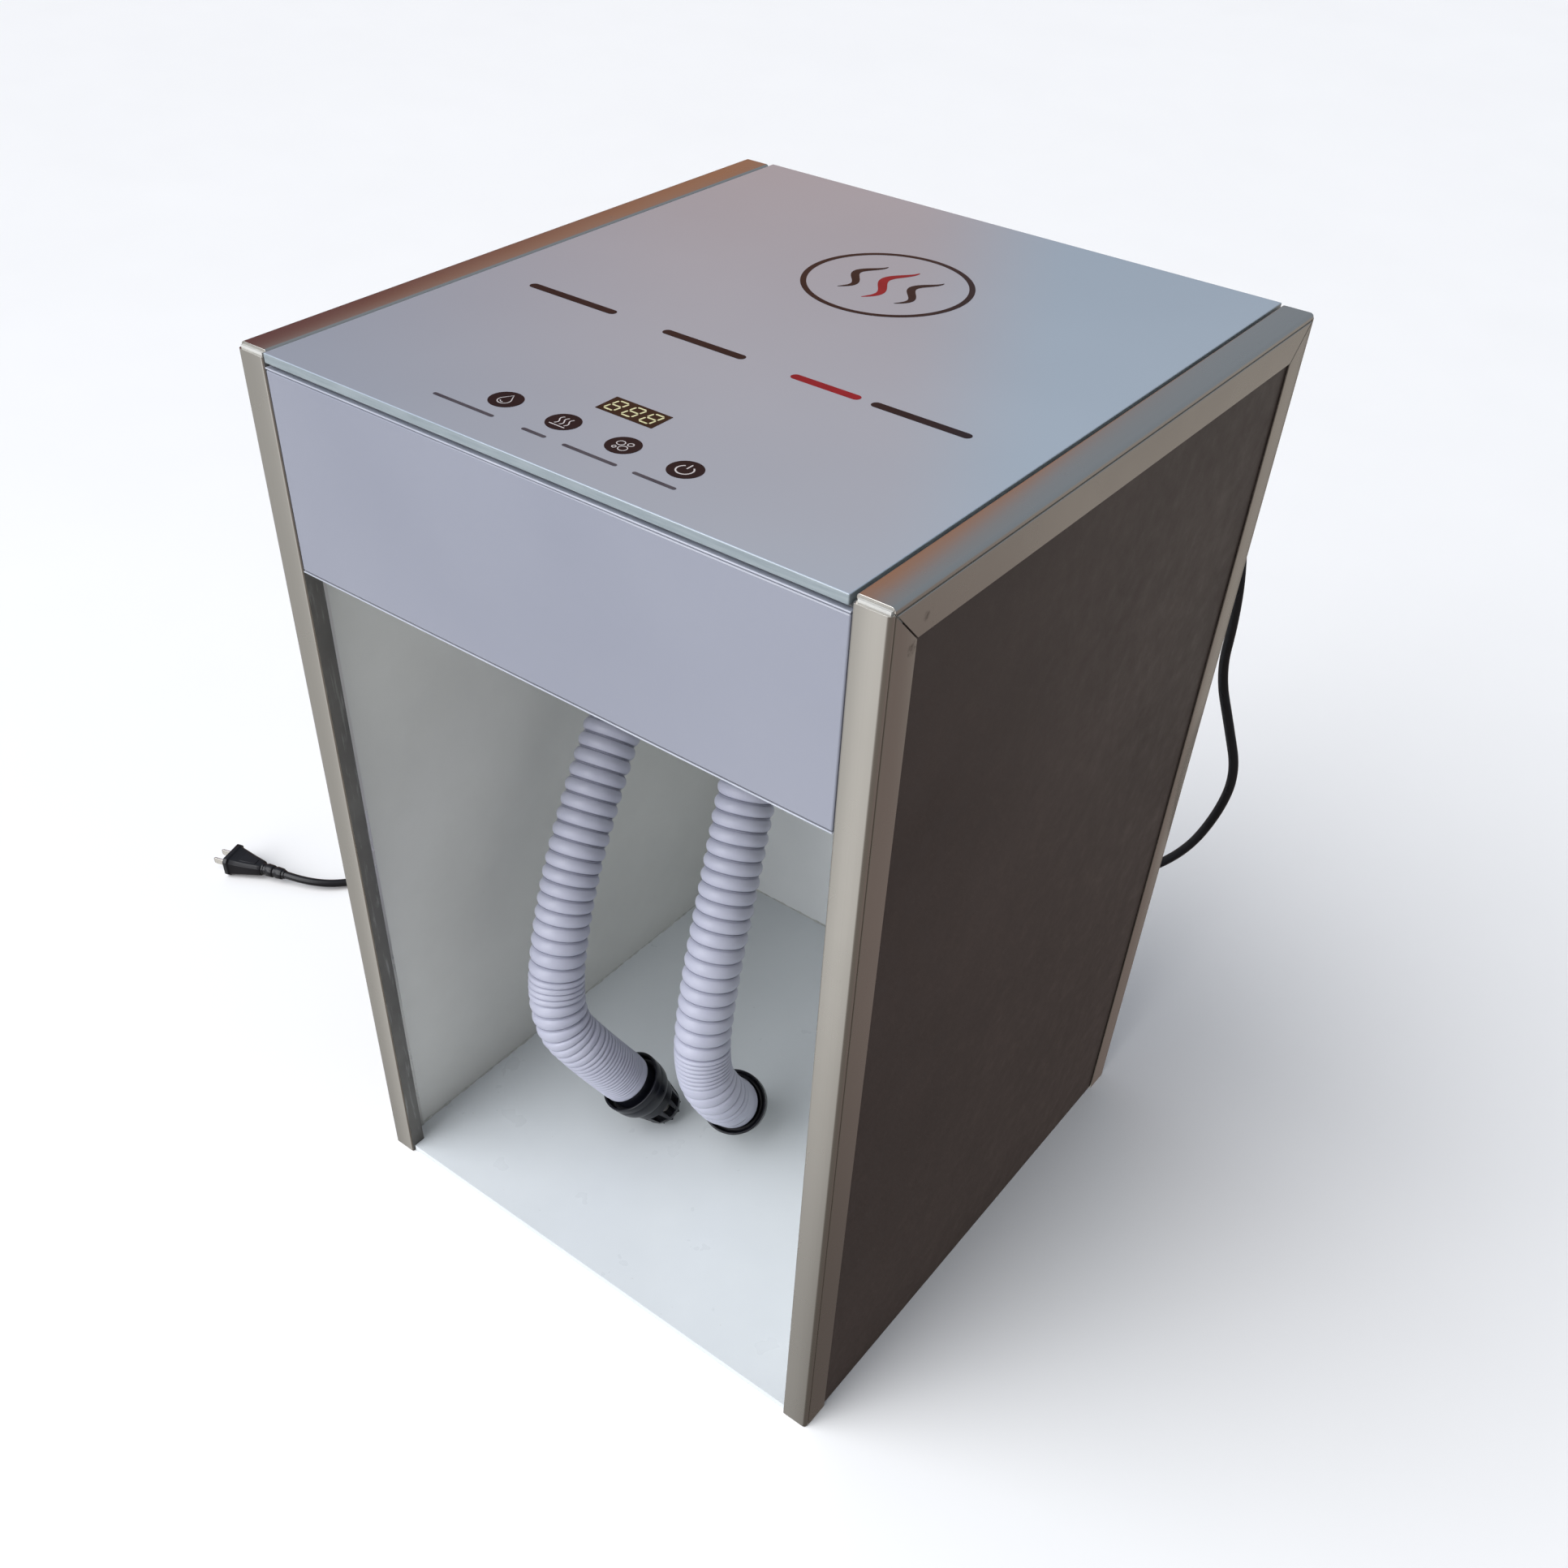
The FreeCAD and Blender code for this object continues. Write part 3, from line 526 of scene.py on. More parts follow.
HOSE = {
    "left": route([(-110, 40, 492), (-110, 40, 455), (-122, 30, 398), (-133, 2, 344), (-124, -45, 291),
                   (-111, -97, 222), (-101, -126, 136), END["left"] - AXIS["left"] * 45.8 * MM, END["left"]]),
    "right": route([(-6, 40, 492), (-6, 40, 449.4), (-18.6, 18.6, 375.9), (-20.6, -2.1, 327.4), (-8, -37.6, 264.1),
                    (0.1, -68.8, 198.2), (6.4, -89, 123.1), END["right"] - AXIS["right"] * 36.0 * MM, END["right"]]),
}


def fold_list(first, spans):
    """Fold boundaries: spans are (until, pitch, depth, kind)."""
    out = []
    s = first
    for until, pitch, depth, kind in spans:
        n = max(1, round((until - s) / pitch))
        step = (until - s) / n
        for k in range(n):
            out.append((s + k * step, s + (k + 1) * step, depth, kind))
        s = until
    return out


SPREAD = [0.0, 0.02, 0.06, 0.12, 0.20, 0.30, 0.41, 0.5, 0.59, 0.70, 0.80, 0.88, 0.94, 0.98, 1.0]


def full(q, p):
    """Rounded lobe, flat on top for a higher p."""
    return max(0.0, 1.0 - abs(2 * q - 1) ** p) ** (1.0 / p)


def hose(word, spans, length):
    line = sweep_line(HOSE[word], 48)
    path = Path(line)
    total = path.length
    rings = []          # (s, radius, fade)
    cuff = 9 * MM
    rings += [(0.0, 19.05), (0.0, 20.0), (0.6, 20.3), (cuff / MM - 0.6, 20.3)]
    folds = fold_list(9.0, spans)
    for a, b, depth, kind in folds:
        w = b - a
        top = 20.5
        if kind == "lobe":
            low = top - depth
            # narrow valley with a small ridge in it, then a full rounded lobe
            for off, up_ in ((0.0, -0.1), (0.10, 0.9), (0.24, 1.5), (0.44, 1.55), (0.60, 1.0), (0.72, 0.0), (0.80, -0.15)):
                rings.append((a + off, low + up_))
            for q in SPREAD:
                rings.append((a + 0.84 + q * (w - 0.90), low + depth * full(q, 1.85)))
        elif kind == "fine":
            for q in (0.0, 0.06, 0.15, 0.3, 0.5, 0.7, 0.85, 0.94):
                rings.append((a + q * w, top - depth + depth * full(q, 2.3)))
        else:  # shallow ripples
            for q in (0.0, 0.05, 0.12, 0.22, 0.36, 0.5, 0.64, 0.78, 0.88, 0.95):
                rings.append((a + q * w, top - depth + depth * full(q, 2.5)))
    end = total / MM
    last = folds[-1][1]
    rings += [(last + 0.4, 20.05), (end - 0.7, 20.05), (end - 0.2, 19.95), (end, 19.6), (end, 19.05)]
    rings = [(s, r) for s, r in rings if s <= end + 1e-6]
    # inner bore, back up to the start
    inner = [(s, 19.02 if (s < 18 or s > end - 20) else 17.1) for s in
             [end - 6, end - 16, end - 22] + [end - 22 - (end - 44) * k / 60 for k in range(1, 61)] + [16, 8, 0.0]]
    n = 72
    verts, faces = [], []
    for s, r in rings + inner:
        p, tt, x, y = path.at(s * MM)
        for k in range(n):
            a = 2 * math.pi * k / n
            verts.append(p + (x * math.cos(a) + y * math.sin(a)) * r * MM)
    m = len(rings) + len(inner)
    for i in range(m):
        j = (i + 1) % m
        for k in range(n):
            l = (k + 1) % n
            faces.append((i * n + k, i * n + l, j * n + l, j * n + k))
    ob = mesh_object("ribbed_hose_" + word, verts, faces, M["hose"], True, body=word + "_hose")
    ob.data.set_sharp_from_angle(angle=math.radians(60))
    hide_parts("hose_" + word)
    return ob, path


HOSE_L, PATH_L = hose("left", [(196.2, 10.4, 3.2, "lobe"), (281, 10.6, 3.2, "lobe"), (329, 10.1, 3.1, "lobe"), (370, 9.6, 3.0, "lobe"),
                               (388, 4.2, 2.3, "fine"), (416, 9.2, 2.9, "lobe"), (440, 6.4, 2.4, "fine"),
                               (452, 4.0, 2.1, "fine"), (474, 3.1, 1.9, "fine"), (489, 2.7, 1.6, "fine")], 0.495)
HOSE_R, PATH_R = hose("right", [(192, 10.4, 3.2, "lobe"), (283, 10.2, 3.2, "lobe"), (379, 10.2, 3.1, "lobe"),
                                (402, 3.4, 2.3, "fine"), (434, 7.6, 2.4, "soft"), (445, 5.4, 1.5, "soft")], 0.473)

# ------------------------------------------------------------------ power cord
GLAND = Vector((150, 232, 530)) * MM
PLUG_AXIS = Vector((-0.953, -0.301, 0)).normalized()
RELIEF = Vector((-508, -62, 9)) * MM
ENTRY = RELIEF - PLUG_AXIS * 28 * MM + Vector((0, 0, -2.2)) * MM
CORD = route([GLAND, (150, 260, 522), (155, 284, 496), (165, 284, 462), (178, 275, 430), (184, 270, 396),
              (185, 269, 355), (202, 268, 318), (217, 267, 284), (213, 266, 246), (198, 264, 203), (165, 262, 164),
              (122, 264, 122), (74, 268, 80), (25, 276, 41), (-30, 290, 8), (-92, 312, 3.6), (-158, 322, 3.6),
              (-226, 310, 3.6), (-290, 276, 3.6), (-338, 222, 3.6), (-372, 158, 3.6), (-402, 94, 3.6),
              (-430, 30, 3.6), (-455, -24, 3.6), ENTRY, RELIEF])
cu = bpy.data.curves.new("mains_cord", "CURVE")
cu.dimensions = "3D"
cu.resolution_u = 16
cu.bevel_depth = 3.5 * MM
cu.bevel_resolution = 6
cu.use_fill_caps = True
sp = cu.splines.new("NURBS")
sp.points.add(len(CORD) - 1)
for q, p in zip(sp.points, CORD):
    q.co = (p[0], p[1], p[2], 1)
sp.order_u = 3
sp.use_endpoint_u = True
cu.materials.append(M["cord"])
cord_ob = bpy.data.objects.new("mains_cord", cu)
COL.objects.link(cord_ob)
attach(cord_ob, "cabinet")
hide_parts("power_cord")


# =================================================================== the trims
def trim_profile():
    """Section of the trim: u inward from the outer side, v back from the face, in mm."""
    outer = round_corners([
        (19.2, 12.2, 0.3), (19.2, 0.0, 1.3), (0.25, 0.0, 2.3), (0.25, 3.05, 0.15), (1.05, 3.15, 0.1), (1.05, 3.85, 0.1),
        (0.0, 4.0, 0.3), (0.0, 22.0, 0.25), (1.2, 22.0, 0.25), (1.2, 12.2, 0), (7.3, 12.2, 0), (7.3, 22.0, 0.2),
        (8.5, 22.0, 0.2), (8.5, 12.2, 0.2)], 4)
    inner = [Vector(p) for p in ((1.7, 1.4), (18, 1.4), (18, 11), (1.7, 11))]
    return outer, inner


def trim_mesh(name, to_world, lo, hi, planes, mat, inner_side=0):
    outer, inner = trim_profile()
    bm = bmesh.new()
    loops = []
    for ring_ in (outer, inner):
        a = [bm.verts.new(to_world(p.x * MM, p.y * MM, lo)) for p in ring_]
        b = [bm.verts.new(to_world(p.x * MM, p.y * MM, hi)) for p in ring_]
        n = len(ring_)
        for i in range(n):
            bm.faces.new((a[i], a[(i + 1) % n], b[(i + 1) % n], b[i]))
        loops.append((a, b))
    for end_ in (0, 1):
        edges = []
        for pair in loops:
            vs = pair[end_]
            n = len(vs)
            for i in range(n):
                edges.append(bm.edges.get((vs[i], vs[(i + 1) % n])))
        bmesh.ops.triangle_fill(bm, edges=edges, use_beauty=True)
    for co, no in planes:
        res = bmesh.ops.bisect_plane(bm, geom=bm.verts[:] + bm.edges[:] + bm.faces[:], plane_co=co, plane_no=no, clear_outer=True)
        edges = [g for g in res["geom_cut"] if isinstance(g, bmesh.types.BMEdge)]
        if edges:
            bmesh.ops.triangle_fill(bm, edges=edges, use_beauty=True)
    bmesh.ops.remove_doubles(bm, verts=bm.verts, dist=1e-6)
    bmesh.ops.dissolve_limit(bm, angle_limit=math.radians(0.5), verts=bm.verts, edges=bm.edges)
    bmesh.ops.recalc_face_normals(bm, faces=bm.faces)
    me = bpy.data.meshes.new(name)
    bm.to_mesh(me)
    bm.free()
    me.materials.append(mat)
    # faces on the inner side of the uprights take the dark painted-shade material
    if inner_side:
        me.materials.append(M["trim_inner"])
        for p_ in me.polygons:
            if p_.normal.x * inner_side < -0.9 and abs(abs(p_.center.x) - (HW - 19.2 * MM)) < 0.4 * MM:
                p_.material_index = 1
    ob = bpy.data.objects.new(name, me)
    COL.objects.link(ob)
    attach(ob, "cabinet")
    bevel(ob, 0.28 * MM, 2, 42)
    soft(ob, 30)
    return ob


HW, HD, HH = 200 * MM, 210.5 * MM, 623 * MM
TIP = 3.0 * MM
GAP = 0.55 * MM
r2 = math.sqrt(0.5)
for side, word in ((-1, "left"), (1, "right")):
    for end_, where in ((-1, "front"), (1, "rear")):
        ob = trim_mesh("trim_%s_%s_bar" % (where, word),
                       lambda u, v, w, s_=side, e_=end_: Vector((s_ * (HW - u), e_ * (HD - v), w)), 0.0, HH,
                       [(Vector((0, end_ * HD, HH - GAP)), Vector((0, -end_ * r2, r2))),
                        (Vector((0, 0, HH - TIP)), Vector((0, 0, 1)))], M["trim_z"], side)
        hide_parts("trim_%s_%s" % (where, word))
    ob = trim_mesh("trim_top_%s_bar" % word,
                   lambda u, v, w, s_=side: Vector((s_ * (HW - u), w, HH - v)), -HD, HD,
                   [(Vector((0, -HD + GAP, HH)), Vector((0, -r2, -r2))), (Vector((0, HD - GAP, HH)), Vector((0, r2, -r2))),
                    (Vector((0, -HD + TIP, 0)), Vector((0, -1, 0))), (Vector((0, HD - TIP, 0)), Vector((0, 1, 0)))], M["trim_y"])
    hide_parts("trim_top_" + word)

# ================================================================== the boards
for side, word in ((-1, "left"), (1, "right")):
    lo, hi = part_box("side_panel_" + word)
    ob = slab("side_board_" + word, lo, hi, [M["board_white_shaded"], M["board_brown"], M["edge_grey"]], 0.35 * MM,
              pick=lambda n, s_=side: 1 if n.x * s_ > 0.5 else (0 if n.x * s_ < -0.5 else 2))
    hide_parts("side_panel_" + word)

lo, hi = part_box("front_fascia")
lo, hi = Vector(lo), Vector(hi)
ob = slab("fascia_board", (lo.x, lo.y, lo.z + 1.35 * MM), (hi.x, hi.y, hi.z - 1.35 * MM), [M["fascia"]], 0.9 * MM, 4)
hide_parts("front_fascia")
# edge strips at the fascia's top and bottom, coloured brighter as a painted highlight, with thin gaps to the fascia
for nm_, z0, z1 in (("fascia_lip_low", lo.z, lo.z + 0.95 * MM), ("fascia_lip_top", hi.z - 0.95 * MM, hi.z)):
    ob = slab(nm_, (lo.x, lo.y - 0.1 * MM, z0), (hi.x, hi.y, z1), [M["lip"]], 0.3 * MM, 3)
# black backing behind the fascia, seen only through the thin gaps beside the edge strips: painted shade for the dark
# lines there
ob = slab("fascia_shade_backing", (lo.x + 1 * MM, lo.y + 0.8 * MM, lo.z + 0.2 * MM), (hi.x - 1 * MM, hi.y - 0.1 * MM, hi.z - 0.2 * MM), [M["foam"]], 0.0)

lo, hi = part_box("glass_top")
ob = slab("glass_plate", lo, hi, [M["glass_white"], M["glass_edge"]], 0.55 * MM, 3, pick=lambda n: 0 if abs(n.z) > 0.5 else 1)
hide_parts("glass_top")


def node(name):
    return bpy.data.objects[name] if name in bpy.data.objects else NODES[name]


def dress(name, mat, width=0.0, segments=2, smooth=35):
    ob = node(name)
    ob.data.materials.clear()
    ob.data.materials.append(mat)
    for p in ob.data.polygons:
        p.material_index = 0
    if width:
        bevel(ob, width, segments, 35)
    return ob


dress("base_panel", M["board_floor"], 0.5 * MM)
dress("ceiling_panel", M["board_white_shaded"], 0.5 * MM)
dress("back_panel", M["back_board_lit_copy"], 0.3 * MM)
dress("glass_tape", M["foam"])
dress("glass_frame", M["mould"])
dress("corner_keys", M["mould"])
for n_ in ("hose_socket_left", "hose_socket_right"):
    dress(n_, M["black"], 0.4 * MM)
for n_ in ("intake_grille", "cord_gland"):
    dress(n_, M["black"], 0.3 * MM)
dress("back_screws", M["steel"], 0.25 * MM)
dress("motor_screws", M["steel"])
for n_ in ("blower_housing", "blower_lid", "heater_duct", "air_manifold", "impeller", "board_standoffs", "sanitiser_unit"):
    dress(n_, M["mould"])
for n_ in ("blower_motor", "thermal_cutout", "touch_bracket", "touch_springs"):
    dress(n_, M["steel"])
dress("blower_feet", M["foam"])
dress("heater_core", M["dull_alu"])
for n_ in ("power_board", "touch_board"):
    dress(n_, M["board"])
for n_ in ("board_parts", "display_module"):
    dress(n_, M["parts"])


# uneven beads of sealant along the inner joints
def bead(name, start, end, side_a, side_b, phase):
    start, end = Vector(start) * MM, Vector(end) * MM
    a_, b_ = Vector(side_a), Vector(side_b)
    n = int((end - start).length / (2.2 * MM))
    verts, faces = [], []
    for i in range(n + 1):
        q = i / n
        k = i * 0.61 + phase
        r = (0.75 + 0.28 * math.sin(k) + 0.24 * math.sin(2.37 * k + 1.1) + 0.3 * max(0.0, math.sin(0.23 * k + 0.7)) ** 3) * MM
        r = max(r, 0.22 * MM)
        c_ = start.lerp(end, q)
        for ra, rb in ((0, 0), (1, 0), (0.62, 0.22), (0.36, 0.38), (0.2, 0.64), (0, 1)):
            verts.append(c_ + a_ * ra * r + b_ * rb * r)
    for i in range(n):
        for k in range(6):
            l = (k + 1) % 6
            faces.append((i * 6 + k, i * 6 + l, (i + 1) * 6 + l, (i + 1) * 6 + k))
    faces.append(tuple(range(6)))
    faces.append(tuple(range(n * 6, n * 6 + 6)))
    ob = mesh_object(name, verts, faces, M["sealant"], True)
    return ob


WX = 192.65
bead("sealant_floor_left", (-WX, -190, 5.03), (-WX, 204.6, 5.03), (1, 0, 0), (0, 0, 1), 0.3)
bead("sealant_floor_right", (WX, -190, 5.03), (WX, 204.6, 5.03), (-1, 0, 0), (0, 0, 1), 2.1)
bead("sealant_floor_back", (-WX, 204.95, 5.03), (WX, 204.95, 5.03), (0, -1, 0), (0, 0, 1), 4.4)

# ================================================================= the nozzles
def axis_place(origin, axis):
    q = Vector((0, 0, 1)).rotation_difference(axis)
    return Matrix.Translation(origin) @ q.to_matrix().to_4x4()


for word in ("left", "right"):
    place = axis_place(RIM[word], AXIS[word])
    prof = [(16.4, -21.4), (18.6, -21.4), (18.93, -21.0), (18.93, 7.0), (19.4, 7.9), (20.1, 8.2), (21.8, 8.2), (22.7, 7.8), (23.2, 6.8),
            (23.25, 1.0), (23.35, 0.25), (23.7, 0.0), (24.6, 0.0), (25.0, 0.2), (25.2, 0.65), (25.17, 3.0), (25.05, 5.4), (24.95, 6.0),
            (24.55, 6.2), (24.55, 6.8), (24.75, 7.1), (24.7, 9.5), (24.5, 12.0), (24.15, 14.4), (23.6, 16.5), (22.9, 18.1), (22.2, 19.0), (21.4, 19.5),
            (20.0, 19.5), (20.0, 10.4), (16.4, 10.4)]
    ob = lathe_mesh("nozzle_bell_" + word, [(r * MM, z * MM, 0) for r, z in prof], [M["black"]], 112, body=word + "_nozzle",
                    place=place, closed=True)
    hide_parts("nozzle_collar_" + word)

    # slotted cage: an outer and an inner skin with the windows left open
    def outer_r(z):
        tab = [(12.0, 19.97), (19.5, 19.97), (19.5, 21.2), (25, 20.2), (30.5, 19.0), (37.4, 17.5), (44.5, 15.9), (48.0, 14.8), (49.6, 13.9), (50.6, 12.6), (51.0, 11.0)]
        for (z0, r0), (z1, r1) in zip(tab, tab[1:]):
            if z0 <= z <= z1 and z1 > z0:
                return r0 + (r1 - r0) * (z - z0) / (z1 - z0)
        return tab[-1][1]
    per = 12                                   # columns for each window pitch
    count = 10
    n = per * count
    zs = [19.6, 20.0, 22.0, 24.0, 26.5, 29.2, 30.5, 31.0, 33.0, 36.0, 39.0, 42.0, 44.0, 44.5, 46.0, 47.6, 48.8, 49.7, 50.4, 50.85, 51.0]
    rs = [20.02, 20.0, 19.85, 19.6, 19.3, 18.9, 18.7, 18.6, 18.2, 17.6, 17.0, 16.4, 15.9, 15.8, 15.45, 14.95, 14.35, 13.65, 12.75, 11.75, 10.8]
    half = 3.85
    verts, faces = [], []
    ring_index = []
    for z, r in zip(zs, rs):
        row = []
        w = math.asin(min(half / r, 0.95))       # half angle of the window at this radius
        pitch = 2 * math.pi / count
        for c_ in range(count):
            mid_ = math.radians(36.0 * c_ + 18)
            a0, a1 = mid_ - w, mid_ + w
            b0 = mid_ - pitch / 2
            b1 = mid_ + pitch / 2
            cols = [b0, b0 + (a0 - b0) * 0.5, a0 - 0.012, a0, a0 + 0.03, a0 + (a1 - a0) * 0.33, a0 + (a1 - a0) * 0.5, a0 + (a1 - a0) * 0.67, a1 - 0.03, a1,
                    a1 + 0.012, a1 + (b1 - a1) * 0.5]
            for a in cols:
                row.append(len(verts))
                verts.append(place @ Vector((r * math.cos(a) * MM, r * math.sin(a) * MM, z * MM)))
        ring_index.append(row)
    for i in range(len(zs) - 1):
        for k in range(n):
            c_ = k % per
            if 3 <= c_ <= 8 and 30.5 <= zs[i] < 44.5:
                continue
            l = (k + 1) % n
            faces.append((ring_index[i][k], ring_index[i][l], ring_index[i + 1][l], ring_index[i + 1][k]))
    # end disc with a shallow dish
    prev = ring_index[-1]
    for r, z in ((9.8, 51.0), (8.6, 50.6), (4.0, 50.45)):
        row = []
        for k in range(n):
            v = place.inverted() @ verts[ring_index[-1][k]]
            a = math.atan2(v.y, v.x)
            row.append(len(verts))
            verts.append(place @ Vector((r * math.cos(a) * MM, r * math.sin(a) * MM, z * MM)))
        for k in range(n):
            l = (k + 1) % n
            faces.append((prev[k], prev[l], row[l], row[k]))
        prev = row
    faces.append(tuple(prev))
    ob = mesh_object("nozzle_cage_%s_shell" % word, verts, faces, M["black"], False, body=word + "_nozzle")
    s_ = ob.modifiers.new("wall", "SOLIDIFY")
    s_.thickness = 1.7 * MM
    s_.offset = -1
    bevel(ob, 0.35 * MM, 2, 50)
    soft(ob, 40)
    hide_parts("nozzle_cage_" + word)
    # inner spigot of the cage and a pale baffle seen through the windows
    ob2 = lathe_mesh("nozzle_core_" + word, [(r * MM, z * MM, 0) for r, z in
                     [(17.6, 12.0), (19.9, 12.0), (19.9, 19.55), (19.0, 19.6), (18.2, 21.0), (17.2, 21.0)]], [M["black"]], 72,
                     body=word + "_nozzle", place=place, closed=True)
    ob3 = lathe_mesh("nozzle_baffle_" + word, [(r * MM, z * MM, 0) for r, z in
                     [(2.0, 22.5), (12.5, 22.5), (12.5, 24.0), (6.0, 25.0), (4.2, 28.0), (4.0, 49.2), (2.0, 49.2)]], [M["mould"]], 48,
                     body=word + "_nozzle", place=place, closed=True)

# ==================================================================== the plug
PLUG = Matrix.Translation(RELIEF) @ Matrix.Rotation(math.atan2(PLUG_AXIS.y, PLUG_AXIS.x), 4, "Z")


def octagon(x, w, h_, c, lift=0.0):
    pts = [(-w + c, -h_), (w - c, -h_), (w, -h_ + c), (w, h_ - c), (w - c, h_), (-w + c, h_), (-w, h_ - c), (-w, -h_ + c)]
    return [Vector((x, a, b + lift)) * MM for a, b in pts]


def loft(name, sections, mat, place, body, caps=True, width=0.5, segs=3, sub=0):
    verts, faces = [], []
    n = len(sections[0])
    for sec in sections:
        verts += [place @ p for p in sec]
    for i in range(len(sections) - 1):
        for k in range(n):
            l = (k + 1) % n
            faces.append((i * n + k, i * n + l, (i + 1) * n + l, (i + 1) * n + k))
    if caps:
        faces.append(tuple(range(n)))
        faces.append(tuple(range((len(sections) - 1) * n, len(sections) * n)))
    ob = mesh_object(name, verts, faces, mat, False, body=body)
    bevel(ob, width * MM, segs, 12)
    soft(ob, 50)
    return ob


plug = loft("plug_shell", [octagon(23.5, 6.3, 5.6, 2.4), octagon(27, 7.2, 6.0, 2.5), octagon(36, 9.3, 6.7, 2.6), octagon(46, 11.7, 7.9, 2.8, 0.2),
                           octagon(52.3, 12.9, 8.7, 2.8, 0.4), octagon(53.2, 14.4, 9.6, 3.0, 0.8), octagon(56.9, 14.4, 9.6, 3.0, 0.8), octagon(57.5, 13.7, 9.0, 2.8, 0.8)],
            M["cord"], PLUG, "cabinet")
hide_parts("plug_body")
# finger recesses on both faces
for up in (1, -1):
    z0 = up * 6.35
    secs = [[Vector((x, y, z0 + up * d + up * (x - 30) * 0.085)) * MM for x, y in ((29, -3.2), (44, -6.4), (44, 6.4), (29, 3.2))] for d in (-0.8, 0.42)]
    g = loft("plug_grip_%s" % ("top" if up > 0 else "under"), secs, M["cord"], PLUG, "cabinet", width=0.3)
# ribbed relief
sec = []
prof = [(0.0, 4.0), (0.3, 4.4), (2.2, 4.7), (2.6, 5.5), (3.1, 5.7), (8.6, 6.0), (9.1, 5.8), (9.5, 4.9), (11.6, 5.0), (12.0, 5.9), (12.5, 6.2),
        (18.4, 6.5), (18.9, 6.2), (19.3, 5.3), (21.4, 5.4), (21.8, 6.0), (25.0, 6.4)]
relief_place = PLUG @ Matrix.Rotation(math.radians(90), 4, "Y")
relief = lathe_mesh("plug_relief", [(max(0.001, 3.45) * MM, 0.0, 0)] + [(r * 0.93 * MM, x * MM, 0) for x, r in prof] + [(3.45 * MM, 25.0 * MM, 0)],
                    [M["cord"]], 48, body="cabinet", place=relief_place, closed=True)
for s_ in (-1, 1):
    y = s_ * 6.35
    secs = []
    for x, hh_, tt_ in ((54.0, 3.15, 0.75), (70.6, 3.15, 0.75), (71.8, 2.7, 0.6), (72.5, 2.2, 0.4)):
        secs.append([Vector((x, y + a, b)) * MM for a, b in ((-tt_, -hh_), (tt_, -hh_), (tt_, hh_), (-tt_, hh_))])
    p_ = loft("plug_pin_%d" % (1 if s_ < 0 else 2), secs, M["pins"], PLUG, "cabinet", width=0.15, segs=2)
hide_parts("plug_prongs")

# ============================================================ prints on the glass
TOP = HH + 0.00002


class Flat:
    """Thin printed shapes on the glass, joined in one mesh."""

    def __init__(self, height=0.00005, base=TOP):
        self.v, self.f, self.h, self.b = [], [], height, base

    def poly(self, pts):
        n = len(pts)
        i0 = len(self.v)
        self.v += [Vector((p[0] * MM, p[1] * MM, self.b)) for p in pts]
        self.v += [Vector((p[0] * MM, p[1] * MM, self.b + self.h)) for p in pts]
        self.f.append(tuple(range(i0 + n, i0 + 2 * n)))
        self.f.append(tuple(range(i0 + n - 1, i0 - 1, -1)))
        for k in range(n):
            l = (k + 1) % n
            self.f.append((i0 + k, i0 + l, i0 + n + l, i0 + n + k))

    def disc(self, x, y, r, n=48, ry=None):
        self.poly([(x + r * math.cos(2 * math.pi * k / n), y + (ry or r) * math.sin(2 * math.pi * k / n)) for k in range(n)])

    def bar(self, x0, y0, x1, y1, r=None, n=6):
        r = min(abs(x1 - x0), abs(y1 - y0)) / 2 if r is None else r
        pts = []
        for cx, cy, a0 in ((x1 - r, y1 - r, 0), (x0 + r, y1 - r, 90), (x0 + r, y0 + r, 180), (x1 - r, y0 + r, 270)):
            for k in range(n + 1):
                a = math.radians(a0 + 90 * k / n)
                pts.append((cx + r * math.cos(a), cy + r * math.sin(a)))
        self.poly(pts)

    def stroke(self, pts, width, closed=False):
        """A ribbon; width is a number or a function of the share along the line."""
        n = len(pts)
        w = width if callable(width) else (lambda q: width)
        left, right = [], []
        for i in range(n):
            a = Vector(pts[(i - 1) % n] if closed else pts[max(i - 1, 0)])
            b = Vector(pts[(i + 1) % n] if closed else pts[min(i + 1, n - 1)])
            d = (b - a).normalized()
            nn = Vector((-d.y, d.x)) * w(i / (n - 1)) / 2
            left.append(Vector(pts[i]) + nn)
            right.append(Vector(pts[i]) - nn)
        if closed:
            i0 = len(self.v)
            for z in (self.b, self.b + self.h):
                for ring_ in (left, right):
                    self.v += [Vector((p.x * MM, p.y * MM, z)) for p in ring_]
            for k in range(n):
                l = (k + 1) % n
                A, B, C, D = i0, i0 + n, i0 + 2 * n, i0 + 3 * n
                self.f += [(C + k, C + l, D + l, D + k), (A + k, B + k, B + l, A + l), (A + k, A + l, C + l, C + k), (B + k, D + k, D + l, B + l)]
        else:
            for i in range(n - 1):
                self.poly([left[i], left[i + 1], right[i + 1], right[i]])

    def build(self, name, mat, slot_):
        ob = mesh_object(name, self.v, self.f, mat)
        return ob


def arc(cx, cy, r, a0, a1, n=24, ry=None):
    return [(cx + r * math.cos(math.radians(a0 + (a1 - a0) * k / n)), cy + (ry or r) * math.sin(math.radians(a0 + (a1 - a0) * k / n))) for k in range(n + 1)]


ICONS = (-50.8, -13.5, 23.7, 60.6)
IY = -169.7
discs = Flat()
for x in ICONS:
    discs.disc(x, IY, 8.9, 56)
discs.build("touch_discs", M["ink"], "part_dark")

g = Flat(base=TOP + 0.00006)
# droplet
x = ICONS[0]
drop = [(x + 3.4 * math.sin(a), IY - 1.2 - 3.4 * math.cos(a)) for a in [math.radians(-125 + 250 * k / 24) for k in range(25)]]
drop = [(px, py) for px, py in drop] + [(x, IY + 5.6)]
g.stroke(drop, 0.55, True)
g.stroke(arc(x, IY - 1.2, 1.9, 200, 290, 8), 0.5)
